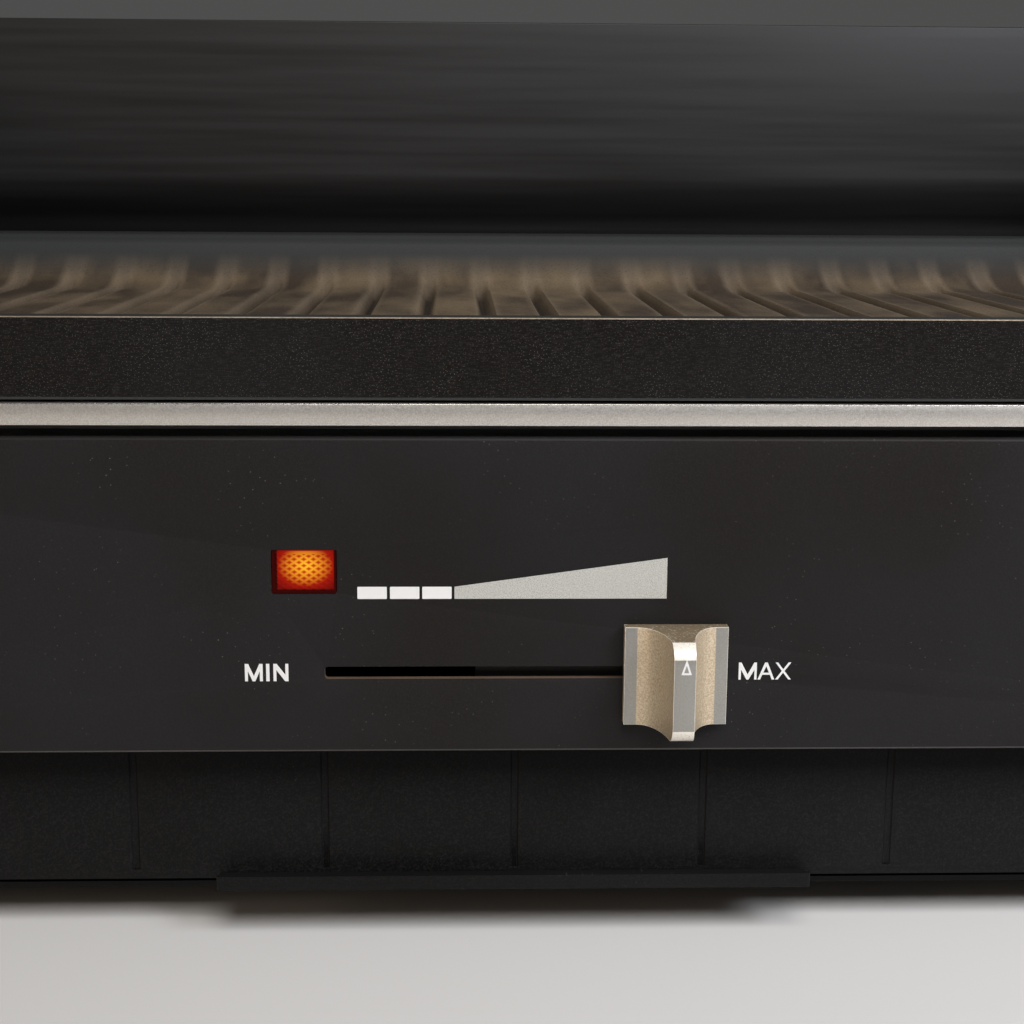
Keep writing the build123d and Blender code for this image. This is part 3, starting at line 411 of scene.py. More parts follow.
def lit_lens():
    """Red acrylic lens over a glowing neon lamp: brightest on the prism ridges near the lamp."""
    made, tree, surface, place = begin("red_acrylic_lit_from_behind", Roughness=0.6, IOR=1.49,
                                       Specular_IOR_Level=0.02)
    surface.inputs["Base Color"].default_value = linear("2a0403")
    surface.inputs["Emission Strength"].default_value = 1.0
    middle = ((lens_low.x + lens_high.x) / 2 + 0.3 * MM, lens_low.y,
              (lens_low.z + lens_high.z) / 2 + 1.2 * MM)
    apart = add_node(tree, "ShaderNodeVectorMath", {0: place, 1: middle}, operation="SUBTRACT").outputs[0]
    shaped = add_node(tree, "ShaderNodeVectorMath", {0: apart, 1: (1 / (4.6 * MM), 0.0, 1 / (3.5 * MM))},
                      operation="MULTIPLY").outputs[0]
    away = add_node(tree, "ShaderNodeVectorMath", {0: shaped}, operation="LENGTH").outputs["Value"]
    depth = add_node(tree, "ShaderNodeSeparateXYZ", {"Vector": place}).outputs["Y"]
    ridge = ramp(tree, depth, lens_low.y + 0.03 * MM, lens_low.y + 0.26 * MM, 1.0, 0.0)
    near = ramp(tree, away, 0.1, 1.15, 1.0, 0.0)
    far = ramp(tree, away, 0.3, 1.6, 1.0, 0.0)
    yellow = add_node(tree, "ShaderNodeMath", {0: near, 1: ramp(tree, ridge, 0.25, 0.9, 0.1, 1.0)},
                      operation="MULTIPLY").outputs[0]
    red = mix(tree, far, linear("6a0806"), linear("d8240c"))
    shaded = mix(tree, ramp(tree, ridge, 0.0, 1.0, 0.5, 0.0), red, linear("7a1204"))
    glow = mix(tree, yellow, shaded, linear("ffbe2c"))
    sides = add_node(tree, "ShaderNodeSeparateXYZ", {"Vector": apart}).outputs
    beside = add_node(tree, "ShaderNodeMath", {0: sides["X"]}, operation="ABSOLUTE").outputs[0]
    beside = ramp(tree, beside, 5.3 * MM, 5.5 * MM)
    below = ramp(tree, sides["Z"], -4.75 * MM, -4.35 * MM, 1.0, 0.0)
    border = add_node(tree, "ShaderNodeMath", {0: beside, 1: below}, operation="MAXIMUM").outputs[0]
    tree.links.new(mix(tree, border, glow, linear("1c0302")), surface.inputs["Emission Color"])
    return made


def printed_ink(name, code, stipple=0.0):
    """Screen-printed ink: flat, slightly chalky; the stipple lets dots of the panel through."""
    made, tree, surface, place = begin(name, Roughness=0.6, IOR=1.5)
    dots = noise(tree, place, 0.16 * MM, 1)
    share = ramp(tree, dots, 0.5, 0.62, 0.0, stipple)
    tree.links.new(mix(tree, share, linear(code), linear("55524d")), surface.inputs["Base Color"])
    relief(tree, surface, dots, 0.004 * MM)
    return made


def satin_lacquer(name, code, pale, rough, metallic, grit=0.0, grain=0.03):
    """Champagne metallic lacquer over moulded ABS: metal flake in a satin clear coat, grainy close up."""
    made, tree, surface, place = begin(name, Metallic=metallic, Roughness=rough)
    flake = noise(tree, place, 0.34 * MM, 3)
    sparse = noise(tree, place, 0.55 * MM, 2)
    shade = mix(tree, ramp(tree, flake, 0.35, 0.65), linear(code), linear(pale))
    pitted = mix(tree, ramp(tree, sparse, 0.58, 0.7, 0.0, grit), shade, linear("fff4e0"))
    tree.links.new(pitted, surface.inputs["Base Color"])
    tree.links.new(ramp(tree, flake, 0.3, 0.7, rough * 0.85, rough * 1.2), surface.inputs["Roughness"])
    relief(tree, surface, flake, grain * MM)
    return made


def anodised_silver():
    """Satin anodised aluminium: fine even grain from the etch, soft broad reflections."""
    made, tree, surface, place = begin("satin_anodised_aluminium", Metallic=0.9, Roughness=0.36)
    grain = noise(tree, place, 0.24 * MM, 3)
    broad = noise(tree, place, 40 * MM, 2)
    shade = mix(tree, ramp(tree, grain, 0.3, 0.7), linear("cbc5bd"), linear("e8e4de"))
    tree.links.new(mix(tree, ramp(tree, broad, 0.35, 0.7, 0.0, 0.25), shade, linear("e2ded8")),
                   surface.inputs["Base Color"])
    tree.links.new(ramp(tree, grain, 0.3, 0.7, 0.32, 0.42), surface.inputs["Roughness"])
    relief(tree, surface, grain, 0.006 * MM)
    return made


COATING = nonstick_coating()
MACHINED = machined_edge()
WORN_EDGE = plain_metal("bare_aluminium_worn_edge", "d2c1ab", 0.42)
BRIGHT_EDGE = plain_metal("polished_aluminium_edge", "e4dfd8", 0.25)
SILVER = anodised_silver()
PANEL_PAINT = powder_coat("black_powder_coat_panel", "1d1a18", "222122", dust=0.6)
# paler coat for the lower bend of the panel: a painted highlight along the bend
BEND_HIGHLIGHT_PAINT = powder_coat("powder_coat_with_painted_highlight_on_the_bend", "4c4948", "5c5957", dust=0.1)
HOUSING_PAINT = powder_coat("black_powder_coat_housing", "101010", "161617", dust=0.2)
# tray enamel: black, and made darker than the panel paint as painted shade in the recess under the panel
TRAY_PAINT_WITH_SHADE = powder_coat("black_enamel_tray_with_painted_shade", "0d0d0d", "131314", dust=0.2)
GUARD_ENAMEL = guard_enamel()
CUT_STEEL = moulded("varnished_cut_steel_edge", "574639", 0.6)
KNOB_SATIN = satin_lacquer("champagne_metallic_lacquer", "bda88a", "e0cfb4", 0.42, 0.4, 0.25)
# grey flats and ridge: a painted reflection on the lacquer, which is champagne on the flanks
KNOB_FLAT_REFLECTION = satin_lacquer("lacquer_flats_with_painted_reflection", "a19e98", "aba8a2", 0.38, 0.6, grain=0.006)
KNOB_TOP = satin_lacquer("coarse_lacquer_ends", "85745a", "9d8b6f", 0.5, 0.4, 0.7)
# near-white edges: a painted highlight on the knob's rounded nose and softened edges
KNOB_EDGE_HIGHLIGHT = satin_lacquer("lacquer_edges_with_painted_highlight", "f6eede", "fffaf0", 0.3, 0.15)
LENS_RED = lit_lens()
INK_WHITE = printed_ink("white_screen_ink", "e8e7e5")
INK_GREY = printed_ink("stippled_grey_ink", "c3c2bb", 0.55)
ZINC = plain_metal("zinc_plated_steel", "a9aaac", 0.35)
BLACKENED = plain_metal("blackened_steel", "141415", 0.45)
MILL_ALUMINIUM = brushed_metal("mill_finish_aluminium", "a8a8a8", "c8c8c8", 0.3)
RUBBER = moulded("black_rubber", "151515", 0.75, 1.52)
BLACK_PLASTIC = moulded("black_glass_filled_nylon", "17171a", 0.5, 1.53)
ACETAL = moulded("natural_acetal", "d8d3c4", 0.4, 1.48)
STAMPED_STEEL = plain_metal("stamped_steel", "8c8c8c", 0.38)
STEATITE = moulded("unglazed_steatite", "d9d2c2", 0.7, 1.6)
BRASS = plain_metal("stamped_brass", "b5924c", 0.3)
COPPER = plain_metal("drawn_copper", "b0714c", 0.3)
INCOLOY = plain_metal("heat_darkened_incoloy", "4b4540", 0.5)
SILICONE = moulded("grey_silicone_sleeve", "8d8c86", 0.6, 1.41)


def neon_glass():
    """Clear glass of the neon lamp, with its orange glow."""
    made, tree, surface, place = begin("neon_lamp_glass", Roughness=0.05, IOR=1.5, Transmission_Weight=0.6)
    surface.inputs["Emission Strength"].default_value = 2.0
    cloud = noise(tree, place, 2 * MM, 2)
    tree.links.new(mix(tree, cloud, linear("ff6a10"), linear("ffb040")), surface.inputs["Emission Color"])
    tree.links.new(mix(tree, cloud, linear("ff9a50"), linear("ffc890")), surface.inputs["Base Color"])
    return made


SLOT_MATERIALS = {
    "plate_coating": COATING, "trim_aluminium": SILVER, "panel_paint": PANEL_PAINT,
    "housing_paint": HOUSING_PAINT, "guard_enamel": GUARD_ENAMEL, "zinc_steel": ZINC,
    "blackened_steel": BLACKENED, "reflector_aluminium": MILL_ALUMINIUM, "rubber": RUBBER,
    "knob_satin": KNOB_SATIN, "black_plastic": BLACK_PLASTIC, "pinion_plastic": ACETAL,
    "thermostat_steel": STAMPED_STEEL, "ceramic_white": STEATITE, "brass": BRASS,
    "lens_red": LENS_RED, "neon_glass": neon_glass(), "element_sheath": INCOLOY,
    "copper": COPPER, "lead_silicone": SILICONE,
}
for part in frame["record"]["subparts"]:
    dress(frame["nodes"][part["node"]], SLOT_MATERIALS[part["material_slot"]])


# ---- hot plate ----
RIB_HEIGHT = 3.0
RIB_FLOOR = plate_high.z / MM - 15.7
RIB_FRONT = 26.0
RIB_BACK = 112.0
SWEEP = 34.0
SWEEP_TURN = 50
FRONT_TOP = plate_high.z / MM - 9.7
REAR_TOP = plate_high.z / MM
PLATE_HALF = plate_high.x / MM
BASIN_HALF = 186.0
PLATE_FRONT = (plate_low.y - PANEL_Y) / MM
PLATE_REAR = (plate_high.y - PANEL_Y) / MM


def ease(value, low, high):
    """Smooth step from 0 to 1."""
    share = min(1.0, max(0.0, (value - low) / (high - low)))
    return share * share * (3 - 2 * share)


def rim_top(depth):
    """Height of the rim along the side: level at the front, then rising to the back."""
    return FRONT_TOP + (REAR_TOP - FRONT_TOP) * min(1.0, max(0.0, (depth - 8) / (PLATE_REAR - 14)))


def floor_height(depth):
    """Height of the floor from front to back: gutter, flat, and the sweep up to the rear rim."""
    gutter = RIB_FLOOR - 2.3
    level = gutter + 2.3 * ease(depth, 22, 25.5)
    level += (FRONT_TOP - gutter) * (1 - ease(depth, 4.8, 10.5))
    turn = math.radians(SWEEP_TURN)
    if depth > RIB_BACK:
        reach = min(depth - RIB_BACK, SWEEP * math.sin(turn))
        level = RIB_FLOOR + SWEEP - math.sqrt(SWEEP ** 2 - reach ** 2)
        level += max(0.0, depth - RIB_BACK - reach) * math.tan(turn)
    return min(level, REAR_TOP - 1.2 * max(0.0, 1 - max(0.0, depth - 140.6) / 1.8) ** 2)


def rib_rise(across, depth):
    """How far a rib stands above the floor: rounded crests, narrow grooves, fading into the sweep."""
    step = (across - RIB_SHIFT) / RIB_PITCH
    index = round(step)
    if abs(index) > (RIB_COUNT - 1) // 2:
        return 0.0
    off = abs(step - index) * RIB_PITCH
    crown = 1 - ease(off, 4.4, 6.2) - 0.05 * (off / 4.4) ** 2 * (off < 4.4)
    length = ease(depth, RIB_FRONT, RIB_FRONT + 4) * (1 - ease(depth, 112, 134))
    return RIB_HEIGHT * max(0.0, crown) * length


def plate_height(across, depth):
    """Height of the casting's upper surface."""
    inside = floor_height(depth) + rib_rise(across, depth)
    wall = ease(abs(across), BASIN_HALF - 4.5, BASIN_HALF + 1.5)
    return max(inside, inside + (rim_top(depth) - inside) * wall)


def hot_plate():
    """Cast plate: a fine grid shaped to the ribs and rims, with machined sides and a hollow underside."""
    across = [-PLATE_HALF + step for step in (0, 0.5, 1.2, 2.5, 4.5, 6.5, 8, 9, 10, 11, 12, 13, 14.5)]
    for index in range(RIB_COUNT):
        middle = (index - (RIB_COUNT - 1) / 2) * RIB_PITCH + RIB_SHIFT
        across += [middle + step for step in
                   (-6.6, -6.2, -5.8, -5.3, -4.8, -4.4, -2.6, 0, 2.6, 4.4, 4.8, 5.3, 5.8, 6.2)]
    across += [middle + 6.6]
    across += [PLATE_HALF - step for step in (14.5, 13, 12, 11, 10, 9, 8, 6.5, 4.5, 2.5, 1.2, 0.5, 0)]
    depths = [PLATE_FRONT + step for step in (0, 0.5, 1.2, 2.5, 4.5, 5.3, 6, 7, 8, 9, 10, 11, 13)]
    depths += [16, 20, 22.5, 23.2, 24, 24.8, 25.6, 26.2, 27, 28, 29, 30.2, 32]
    depths += [32 + 7 * step for step in range(1, 11)] + [107, 110]
    depths += [112 + 1.5 * step for step in range(19)]
    depths += [139.8, 140.4, 140.9, 141.4, 142, 142.8, 144, 147, 151, 154, 156, 157, 157.6, PLATE_REAR]

    bpy.ops.object.select_all(action="DESELECT")
    bpy.ops.mesh.primitive_grid_add(x_subdivisions=len(across) - 1, y_subdivisions=len(depths) - 1, size=2)
    plate = bpy.context.object
    middle_depth = (PLATE_FRONT + PLATE_REAR) / 2
    half_depth = (PLATE_REAR - PLATE_FRONT) / 2
    lip = 0.2
    round_corner = 6.0
    for point in plate.data.vertices:
        column = round((point.co.x + 1) / 2 * (len(across) - 1))
        row = round((point.co.y + 1) / 2 * (len(depths) - 1))
        x, depth = across[column], depths[row]
        height = plate_height(x, depth)
        over_x = abs(x) - (PLATE_HALF - round_corner)
        over_y = abs(depth - middle_depth) - (half_depth - round_corner)
        if over_x > 0 and over_y > 0:
            pull = max(over_x, over_y) / math.hypot(over_x, over_y)
            x = math.copysign(PLATE_HALF - round_corner + over_x * pull, x)
            depth = middle_depth + math.copysign(half_depth - round_corner + over_y * pull,
                                                 depth - middle_depth)
        x *= (PLATE_HALF - lip) / PLATE_HALF
        depth = middle_depth + (depth - middle_depth) * (half_depth - lip) / half_depth
        point.co = (x * MM, PANEL_Y + depth * MM, height * MM)

    lone(plate)
    bpy.ops.object.mode_set(mode="EDIT")
    bpy.ops.mesh.select_mode(type="EDGE")
    bpy.ops.mesh.select_all(action="DESELECT")
    bpy.ops.mesh.select_non_manifold()
    centre = (0, PANEL_Y + middle_depth * MM, 0)
    grow = (PLATE_HALF / (PLATE_HALF - lip), half_depth / (half_depth - lip), 1)
    shrink = (1 / grow[0], 1 / grow[1], 1)
    bottom = plate_low.z + 4.8 * MM

    def step_edge(move, scale, pivot=centre):
        bpy.ops.mesh.extrude_edges_move(TRANSFORM_OT_translate={"value": move})
        bpy.ops.transform.resize(value=scale, center_override=pivot)

    step_edge((0, 0, -lip * MM), grow)
    step_edge((0, 0, 0), (1, 1, 0), (0, 0, bottom + 0.5 * MM))
    step_edge((0, 0, -0.5 * MM), shrink)
    wall = 5.0
    step_edge((0, 0, 0), ((PLATE_HALF - wall) / PLATE_HALF, (half_depth - wall) / half_depth, 1))
    step_edge((0, 0, 4.5 * MM), (1, 1, 1))
    bpy.ops.mesh.edge_face_add()
    bpy.ops.mesh.select_all(action="SELECT")
    bpy.ops.mesh.normals_make_consistent(inside=False)
    leave()
    settle(plate, "ribbed_hot_plate")

    dress(plate, COATING, MACHINED, WORN_EDGE)
    rim_side = PLATE_HALF * MM - 0.02 * MM
    front_y, rear_y = plate_low.y + 0.02 * MM, plate_high.y - 0.02 * MM

    def outer_wall(place):
        return abs(place.x) > rim_side - 2 * MM or place.y < front_y + 2 * MM or place.y > rear_y - 2 * MM

    def at_side(place, normal):
        return (abs(normal.z) < 0.3 and normal.length > 0
                and bottom < place.z < plate_high.z - 0.3 * MM and outer_wall(place))

    paint_faces(plate, 1, at_side)
    paint_faces(plate, 2, lambda place, normal: 0.3 <= normal.z < 0.93 and outer_wall(place)
                and place.z > FRONT_TOP * MM - 1 * MM)
    lone(plate)
    bpy.ops.object.shade_smooth_by_angle(angle=math.radians(40))
    return plate


def plate_fittings():
    """Seats and locating pegs under the casting."""
    made = []
    top = plate_low.z + 10 * MM
    for side in (-1, 1):
        for depth in (14, 140):
            x0, x1 = sorted((side * 187.5 * MM, side * 194 * MM))
            seat = cube("seat", (x0, PANEL_Y + depth * MM, trim_high.z + 0.3 * MM),
                        (x1, PANEL_Y + (depth + 10) * MM, top))
            soften(seat, 0.3 * MM, 2)
            made.append(seat)
        for depth in (45, 115):
            foot = (side * 183 * MM, PANEL_Y + depth * MM, plate_low.z)
            peg = round_bar("peg", 2.5 * MM, foot, 11 * MM, "Z", 24)
            soften(peg, 0.4 * MM, 2)
            made.append(peg)
    return made


DRAIN_X, DRAIN_DEPTH = -172.0, 19.0


def finish_plate():
    """Drain, spout and fittings added to the casting, all as one piece."""
    plate = hot_plate()
    spot = (DRAIN_X * MM, PANEL_Y + DRAIN_DEPTH * MM, plate_low.z + 3 * MM)
    combine(plate, round_bar("drain_cut", 3.5 * MM, spot, 30 * MM, "Z", 32))
    spout = round_bar("spout", 5 * MM, spot, 7 * MM, "Z", 32)
    bore = (spot[0], spot[1], spot[2] - 1 * MM)
    combine(spout, round_bar("spout_bore", 3.5 * MM, bore, 20 * MM, "Z", 32))
    soften(spout, 0.3 * MM, 2)
    fittings = plate_fittings() + [spout]
    for fitting in fittings:
        dress(fitting, COATING)
    join(plate, *fittings)
    fit(plate, "hot_plate", "plate_coating", "grill_plate")


finish_plate()


# ---- splash guard ----
GUARD_FOOT = 166.0
GUARD_FACE = 161.5
TAB_X = 110 * MM


def guard_wall():
    """Rear wall of sheet: upright, a soft jog forwards, then upright to a folded hem."""
    foot = trim_high.z + 0.3 * MM
    jog = SLOT_Z + 87 * MM
    run = [(GUARD_FOOT, foot)]
    for step in range(13):
        share = step / 12
        depth = GUARD_FOOT - (GUARD_FOOT - GUARD_FACE) * ease(share, 0, 1)
        run.append((depth, jog + (share - 0.5) * 15 * MM))
    run.append((GUARD_FACE, guard_high.z))
    bpy.ops.object.select_all(action="DESELECT")
    bpy.ops.mesh.primitive_grid_add(x_subdivisions=1, y_subdivisions=len(run) - 1, size=2)
    wall = bpy.context.object
    for point in wall.data.vertices:
        depth, height = run[round((point.co.y + 1) / 2 * (len(run) - 1))]
        point.co = (math.copysign(guard_high.x, point.co.x), PANEL_Y + depth * MM, height)
    lone(wall)
    sheet = wall.modifiers.new("sheet", "SOLIDIFY")
    sheet.thickness = 1.2 * MM
    sheet.offset = 1.0 if wall.data.polygons[0].normal.y > 0 else -1.0
    bpy.ops.object.modifier_apply(modifier=sheet.name)
    return wall


def guard_wing(side):
    """Side wing: falls away to the front in two slopes with rounded corners."""
    x0, x1 = sorted((side * (guard_high.x - 1.2 * MM), side * guard_high.x))
    wing = cube("wing", (x0, PANEL_Y + 28 * MM, trim_high.z + 0.3 * MM),
                (x1, PANEL_Y + 162.7 * MM, guard_high.z))
    corner = (0, PANEL_Y + 62 * MM, SLOT_Z + 114 * MM)
    for slope in ((0, -38, 34), (0, -21, 79.5)):
        lone(wing)
        bpy.ops.object.mode_set(mode="EDIT")
        bpy.ops.mesh.select_all(action="SELECT")
        bpy.ops.mesh.bisect(plane_co=corner, plane_no=slope, use_fill=True, clear_outer=True)
        leave()
    edit_edges(wing, lambda a, b: abs(a.y - b.y) < 1e-6 and abs(a.z - b.z) < 1e-6
               and a.z > SLOT_Z + 70 * MM and a.y < PANEL_Y + 150 * MM)
    bpy.ops.mesh.bevel(offset=11 * MM, segments=10, affect="EDGES")
    leave()
    return wing


def splash_guard():
    """Guard folded from one sheet, with two tabs that drop into the silver frame."""
    wall = guard_wall()
    hem = cube("hem", (guard_low.x, PANEL_Y + 162.6 * MM, guard_high.z - 9 * MM),
               (guard_high.x, PANEL_Y + 163.7 * MM, guard_high.z))
    pieces = [hem, guard_wing(-1), guard_wing(1)]
    for x in (-TAB_X, TAB_X):
        pieces.append(cube("tab", (x - 10 * MM, PANEL_Y + GUARD_FOOT * MM, guard_low.z),
                           (x + 10 * MM, PANEL_Y + 167.2 * MM, trim_high.z + 2 * MM)))
    for piece in [wall] + pieces:
        dress(piece, GUARD_ENAMEL)
        soften(piece, 0.35 * MM, 3, 50)
    guard = join(wall, *pieces)
    settle(guard, "folded_splash_guard")
    fit(guard, "guard", "guard_enamel", "splash_guard")


splash_guard()


# ---- drip tray ----
def drip_tray():
    """Pressed pan behind a grooved front with a finger lip along its foot."""
    front = PANEL_Y + 10 * MM
    rim = tray_low.z + 1.1 * MM
    pan_top = SLOT_Z - 19 * MM
    pan = rounded_block("pressed_drip_tray", (-168 * MM, front + 0.4 * MM, rim),
                        (168 * MM, PANEL_Y + 168 * MM, pan_top), 4 * MM)
    combine(pan, rounded_block("inside", (-167.1 * MM, front + 1.3 * MM, rim + 0.9 * MM),
                               (167.1 * MM, PANEL_Y + 167.1 * MM, pan_top + 5 * MM), 3.1 * MM))
    soften(pan, 0.25 * MM, 2)
    panel = cube("tray_front", (tray_low.x, front, tray_low.z), (tray_high.x, front + 1.2 * MM, tray_high.z))
    for index in range(-4, 5):
        foot = (index * 38.5 * MM, front - 0.35 * MM, tray_low.z + 2 * MM)
        combine(panel, round_bar("groove", 0.9 * MM, foot, 40 * MM, "Z", 24))
    soften(panel, 0.2 * MM, 2)
    lip = cube("finger_lip", (-60 * MM, tray_low.y, tray_low.z),
               (60 * MM, front + 0.3 * MM, tray_low.z + 1.2 * MM))
    hook = cube("lip_edge", (-60 * MM, tray_low.y, tray_low.z),
                (60 * MM, tray_low.y + 1.2 * MM, tray_low.z + 3 * MM))
    combine(lip, hook, "UNION")
    edit_edges(lip, upright)
    bpy.ops.mesh.bevel(offset=0.5 * MM, segments=3, affect="EDGES")
    leave()
    soften(lip, 0.3 * MM, 3)
    # the tray's darker enamel is painted shade in the recess
    for piece in (pan, panel, lip):
        dress(piece, TRAY_PAINT_WITH_SHADE)
    tray = join(pan, panel, lip)
    fit(tray, "tray", "housing_paint", "drip_tray")


drip_tray()


# ---- silver trim frame ----
def silver_frame():
    """Folded frame under the plate: upright band outside, level web inside, two slots for the guard."""
    low, high = trim_low, trim_high
    web = high.z - 1.2 * MM
    frame_piece = rounded_block("silver_trim", low, high, 5 * MM, 10)
    wall = 1.5 * MM
    combine(frame_piece, rounded_block("under", (low.x + wall, low.y + wall, low.z - 2 * MM),
                                       (high.x - wall, high.y - wall, web), 3.5 * MM, 8))
    half = BASIN_HALF * MM
    combine(frame_piece, rounded_block("opening", (-half, PANEL_Y + 11 * MM, low.z - 3 * MM),
                                       (half, PANEL_Y + 152 * MM, high.z + 3 * MM), 4 * MM, 6))
    for x in (-TAB_X, TAB_X):
        combine(frame_piece, cube("slot", (x - 10.5 * MM, PANEL_Y + 165.5 * MM, low.z),
                                  (x + 10.5 * MM, PANEL_Y + 167.7 * MM, high.z + 2 * MM)))
    dress(frame_piece, SILVER, BRIGHT_EDGE)
    soften(frame_piece, 0.2 * MM, 2, 30, 1)
    fit(frame_piece, "base", "trim_aluminium", "trim_frame")


silver_frame()


# ---- front panel ----
def front_panel():
    """Folded panel with the lamp's window and the knob's slot cut through it."""
    low, high = panel_low, panel_high
    panel = cube("front_panel", low, high)
    edit_edges(panel, lambda a, b: abs(a.y - low.y) < 1e-6 and abs(b.y - low.y) < 1e-6)
    bpy.ops.mesh.bevel(offset=0.8 * MM, segments=4, affect="EDGES")
    leave()
    sheet = 1.2 * MM
    combine(panel, cube("hollow", (low.x + sheet, low.y + 1.5 * MM, low.z + sheet),
                        (high.x - sheet, high.y + 5 * MM, high.z - sheet)))
    for side in (-1, 1):
        x0, x1 = sorted((side * 197 * MM, side * 198.8 * MM))
        combine(panel, cube("notch", (x0, low.y + 1.5 * MM, low.z - 5 * MM),
                            (x1, high.y + 5 * MM, high.z + 5 * MM)))
    margin = 0.85 * MM
    combine(panel, rounded_window(lens_low.x + margin, lens_high.x - margin, lens_low.z + margin,
                                  lens_high.z - margin, 0.3 * MM))
    half = 37.3 * MM
    rise = 1.2 * MM
    combine(panel, rounded_window(-half, half, SLOT_Z - rise, SLOT_Z + rise, 0.6 * MM))
    dress(panel, PANEL_PAINT, CUT_STEEL, BEND_HIGHLIGHT_PAINT)
    soften(panel, 0.12 * MM, 2)
    near = 0.005 * MM

    def in_cut(place, normal):
        deep = low.y + near < place.y < low.y + 1.45 * MM
        facing = abs(normal.y) < 0.9
        inside = low.z + 1 * MM < place.z < high.z - 1 * MM and abs(place.x) < high.x - 2 * MM
        return deep and facing and inside

    # index 2: the panel's lower bend gets the paler coat as a painted highlight
    paint_faces(panel, 2, lambda place, normal: place.y < low.y + 0.75 * MM
                and place.z - low.z < 0.8 * MM and 0.25 < abs(normal.z) < 0.97)
    paint_faces(panel, 1, in_cut)
    fit(panel, "base", "panel_paint", "front_fascia")


def rounded_window(x0, x1, z0, z1, radius):
    """Cutter for an opening with rounded corners, run through the panel from the front."""
    cutter = cube("window", (x0, PANEL_Y - 3 * MM, z0), (x1, PANEL_Y + 3 * MM, z1))
    edit_edges(cutter, lambda a, b: abs(a.x - b.x) < 1e-6 and abs(a.z - b.z) < 1e-6)
    bpy.ops.mesh.bevel(offset=radius, segments=6, affect="EDGES")
    leave()
    return cutter


front_panel()


# ---- slide knob ----
def knob_depth(off):
    """How far the knob's front stands out at a distance from its middle."""
    ridge, flat = 2.05, 7.6
    face = 3.0
    nose = (PANEL_Y - knob_low.y) / MM
    if off <= ridge:
        return nose
    if off >= flat:
        return face
    share = (flat - off) / (flat - ridge)
    return face + (nose - face) * (1 - math.sqrt(max(0.0, 1 - share ** 2)))


def slide_knob():
    """Flanged knob: two hollow flanks sweep up to a narrow ridge with a rounded nose."""
    low, high = knob_low, knob_high
    flange_front = PANEL_Y - 3 * MM
    knob = cube("slide_knob", (low.x, flange_front, low.z), (high.x, high.y, high.z))
    offsets = [2.05, 2.07, 2.13, 2.23, 2.4, 2.65, 3.0, 3.45, 4.0, 4.65, 5.35, 6.1, 6.85, 7.6]
    for off in offsets:
        for side in (-1, 1):
            lone(knob)
            bpy.ops.object.mode_set(mode="EDIT")
            bpy.ops.mesh.select_all(action="SELECT")
            bpy.ops.mesh.bisect(plane_co=(KNOB_X + side * off * MM, 0, 0), plane_no=(1, 0, 0))
            leave()
    for point in knob.data.vertices:
        if abs(point.co.y - flange_front) < 1e-6:
            point.co.y = PANEL_Y - knob_depth(abs(point.co.x - KNOB_X) / MM) * MM
    envelope = cube("envelope", (low.x - 1 * MM, low.y, low.z), (high.x + 1 * MM, high.y + 1 * MM, high.z))
    edit_edges(envelope, lambda a, b: abs(a.y - low.y) < 1e-6 and abs(b.y - low.y) < 1e-6
               and abs(a.z - b.z) < 1e-6)
    bpy.ops.mesh.bevel(offset=3.8 * MM, segments=12, affect="EDGES")
    leave()
    combine(knob, envelope, "INTERSECT")
    combine(knob, cube("socket", (KNOB_X - 2.5 * MM, PANEL_Y - 7 * MM, SLOT_Z - 0.9 * MM),
                       (KNOB_X + 2.5 * MM, PANEL_Y + 2 * MM, SLOT_Z + 0.9 * MM)))
    dress(knob, KNOB_SATIN, KNOB_EDGE_HIGHLIGHT, KNOB_FLAT_REFLECTION, KNOB_TOP)
    # index 2: grey flats and ridge as a painted reflection
    paint_faces(knob, 2, lambda place, normal: normal.y < -0.999 or abs(place.x - KNOB_X) < 2.04 * MM)
    paint_faces(knob, 3, lambda place, normal: abs(normal.z) > 0.97)
    # index 1: painted highlight on the nose's rounded top and bottom; the softening bevel below gives every
    # softened edge the same painted highlight
    paint_faces(knob, 1, lambda place, normal: abs(place.x - KNOB_X) < 2.3 * MM
                and 0.3 < abs(normal.z) < 0.97)
    soften(knob, 0.2 * MM, 3, 28, 1)
    fit(knob, "control", "knob_satin", "slider_knob")


slide_knob()


# ---- pilot lens ----
def pilot_lens():
    """Snap-in lens whose face is cut into small diamond prisms."""
    flange = 1.0 * MM
    front = lens_low.y
    x0, x1 = lens_low.x + flange, lens_high.x - flange
    z0, z1 = lens_low.z + flange, lens_high.z - flange
    lens = cube("pilot_lens_cap", (x0, front, z0), (x1, lens_high.y, z1))
    edit_faces(lens, lambda place, normal: normal.y < -0.9)
    bpy.ops.mesh.inset(thickness=0.55 * MM)
    leave()
    wide, tall = 1.84 * MM, 1.25 * MM
    tilt = math.atan2(tall, wide)
    middle = ((x0 + x1) / 2, front, (z0 + z1) / 2)
    border = 0.5 * MM

    def prism_face(place, normal):
        return (normal.y < -0.9 and place.y < front + 0.01 * MM and x0 + border < place.x < x1 - border
                and z0 + border < place.z < z1 - border)

    for slant in (-1, 1):
        across = (-math.sin(tilt) * slant, 0, math.cos(tilt))
        gap = wide * math.sin(tilt)
        for step in range(-8, 9):
            edit_faces(lens, prism_face)
            shift = (step + 0.5) * gap
            spot = [a + b * shift for a, b in zip(middle, across)]
            bpy.ops.mesh.bisect(plane_co=spot, plane_no=across)
            leave()
    edit_faces(lens, prism_face)
    bpy.ops.mesh.poke(offset=-0.3 * MM)
    leave()
    collar = cube("collar", (lens_low.x, PANEL_Y + 1.6 * MM, lens_low.z), lens_high)
    soften(collar, 0.15 * MM, 2)
    dress(collar, LENS_RED)
    dress(lens, LENS_RED)
    join(lens, collar)
    fit(lens, "base", "lens_red", "pilot_lens")


pilot_lens()


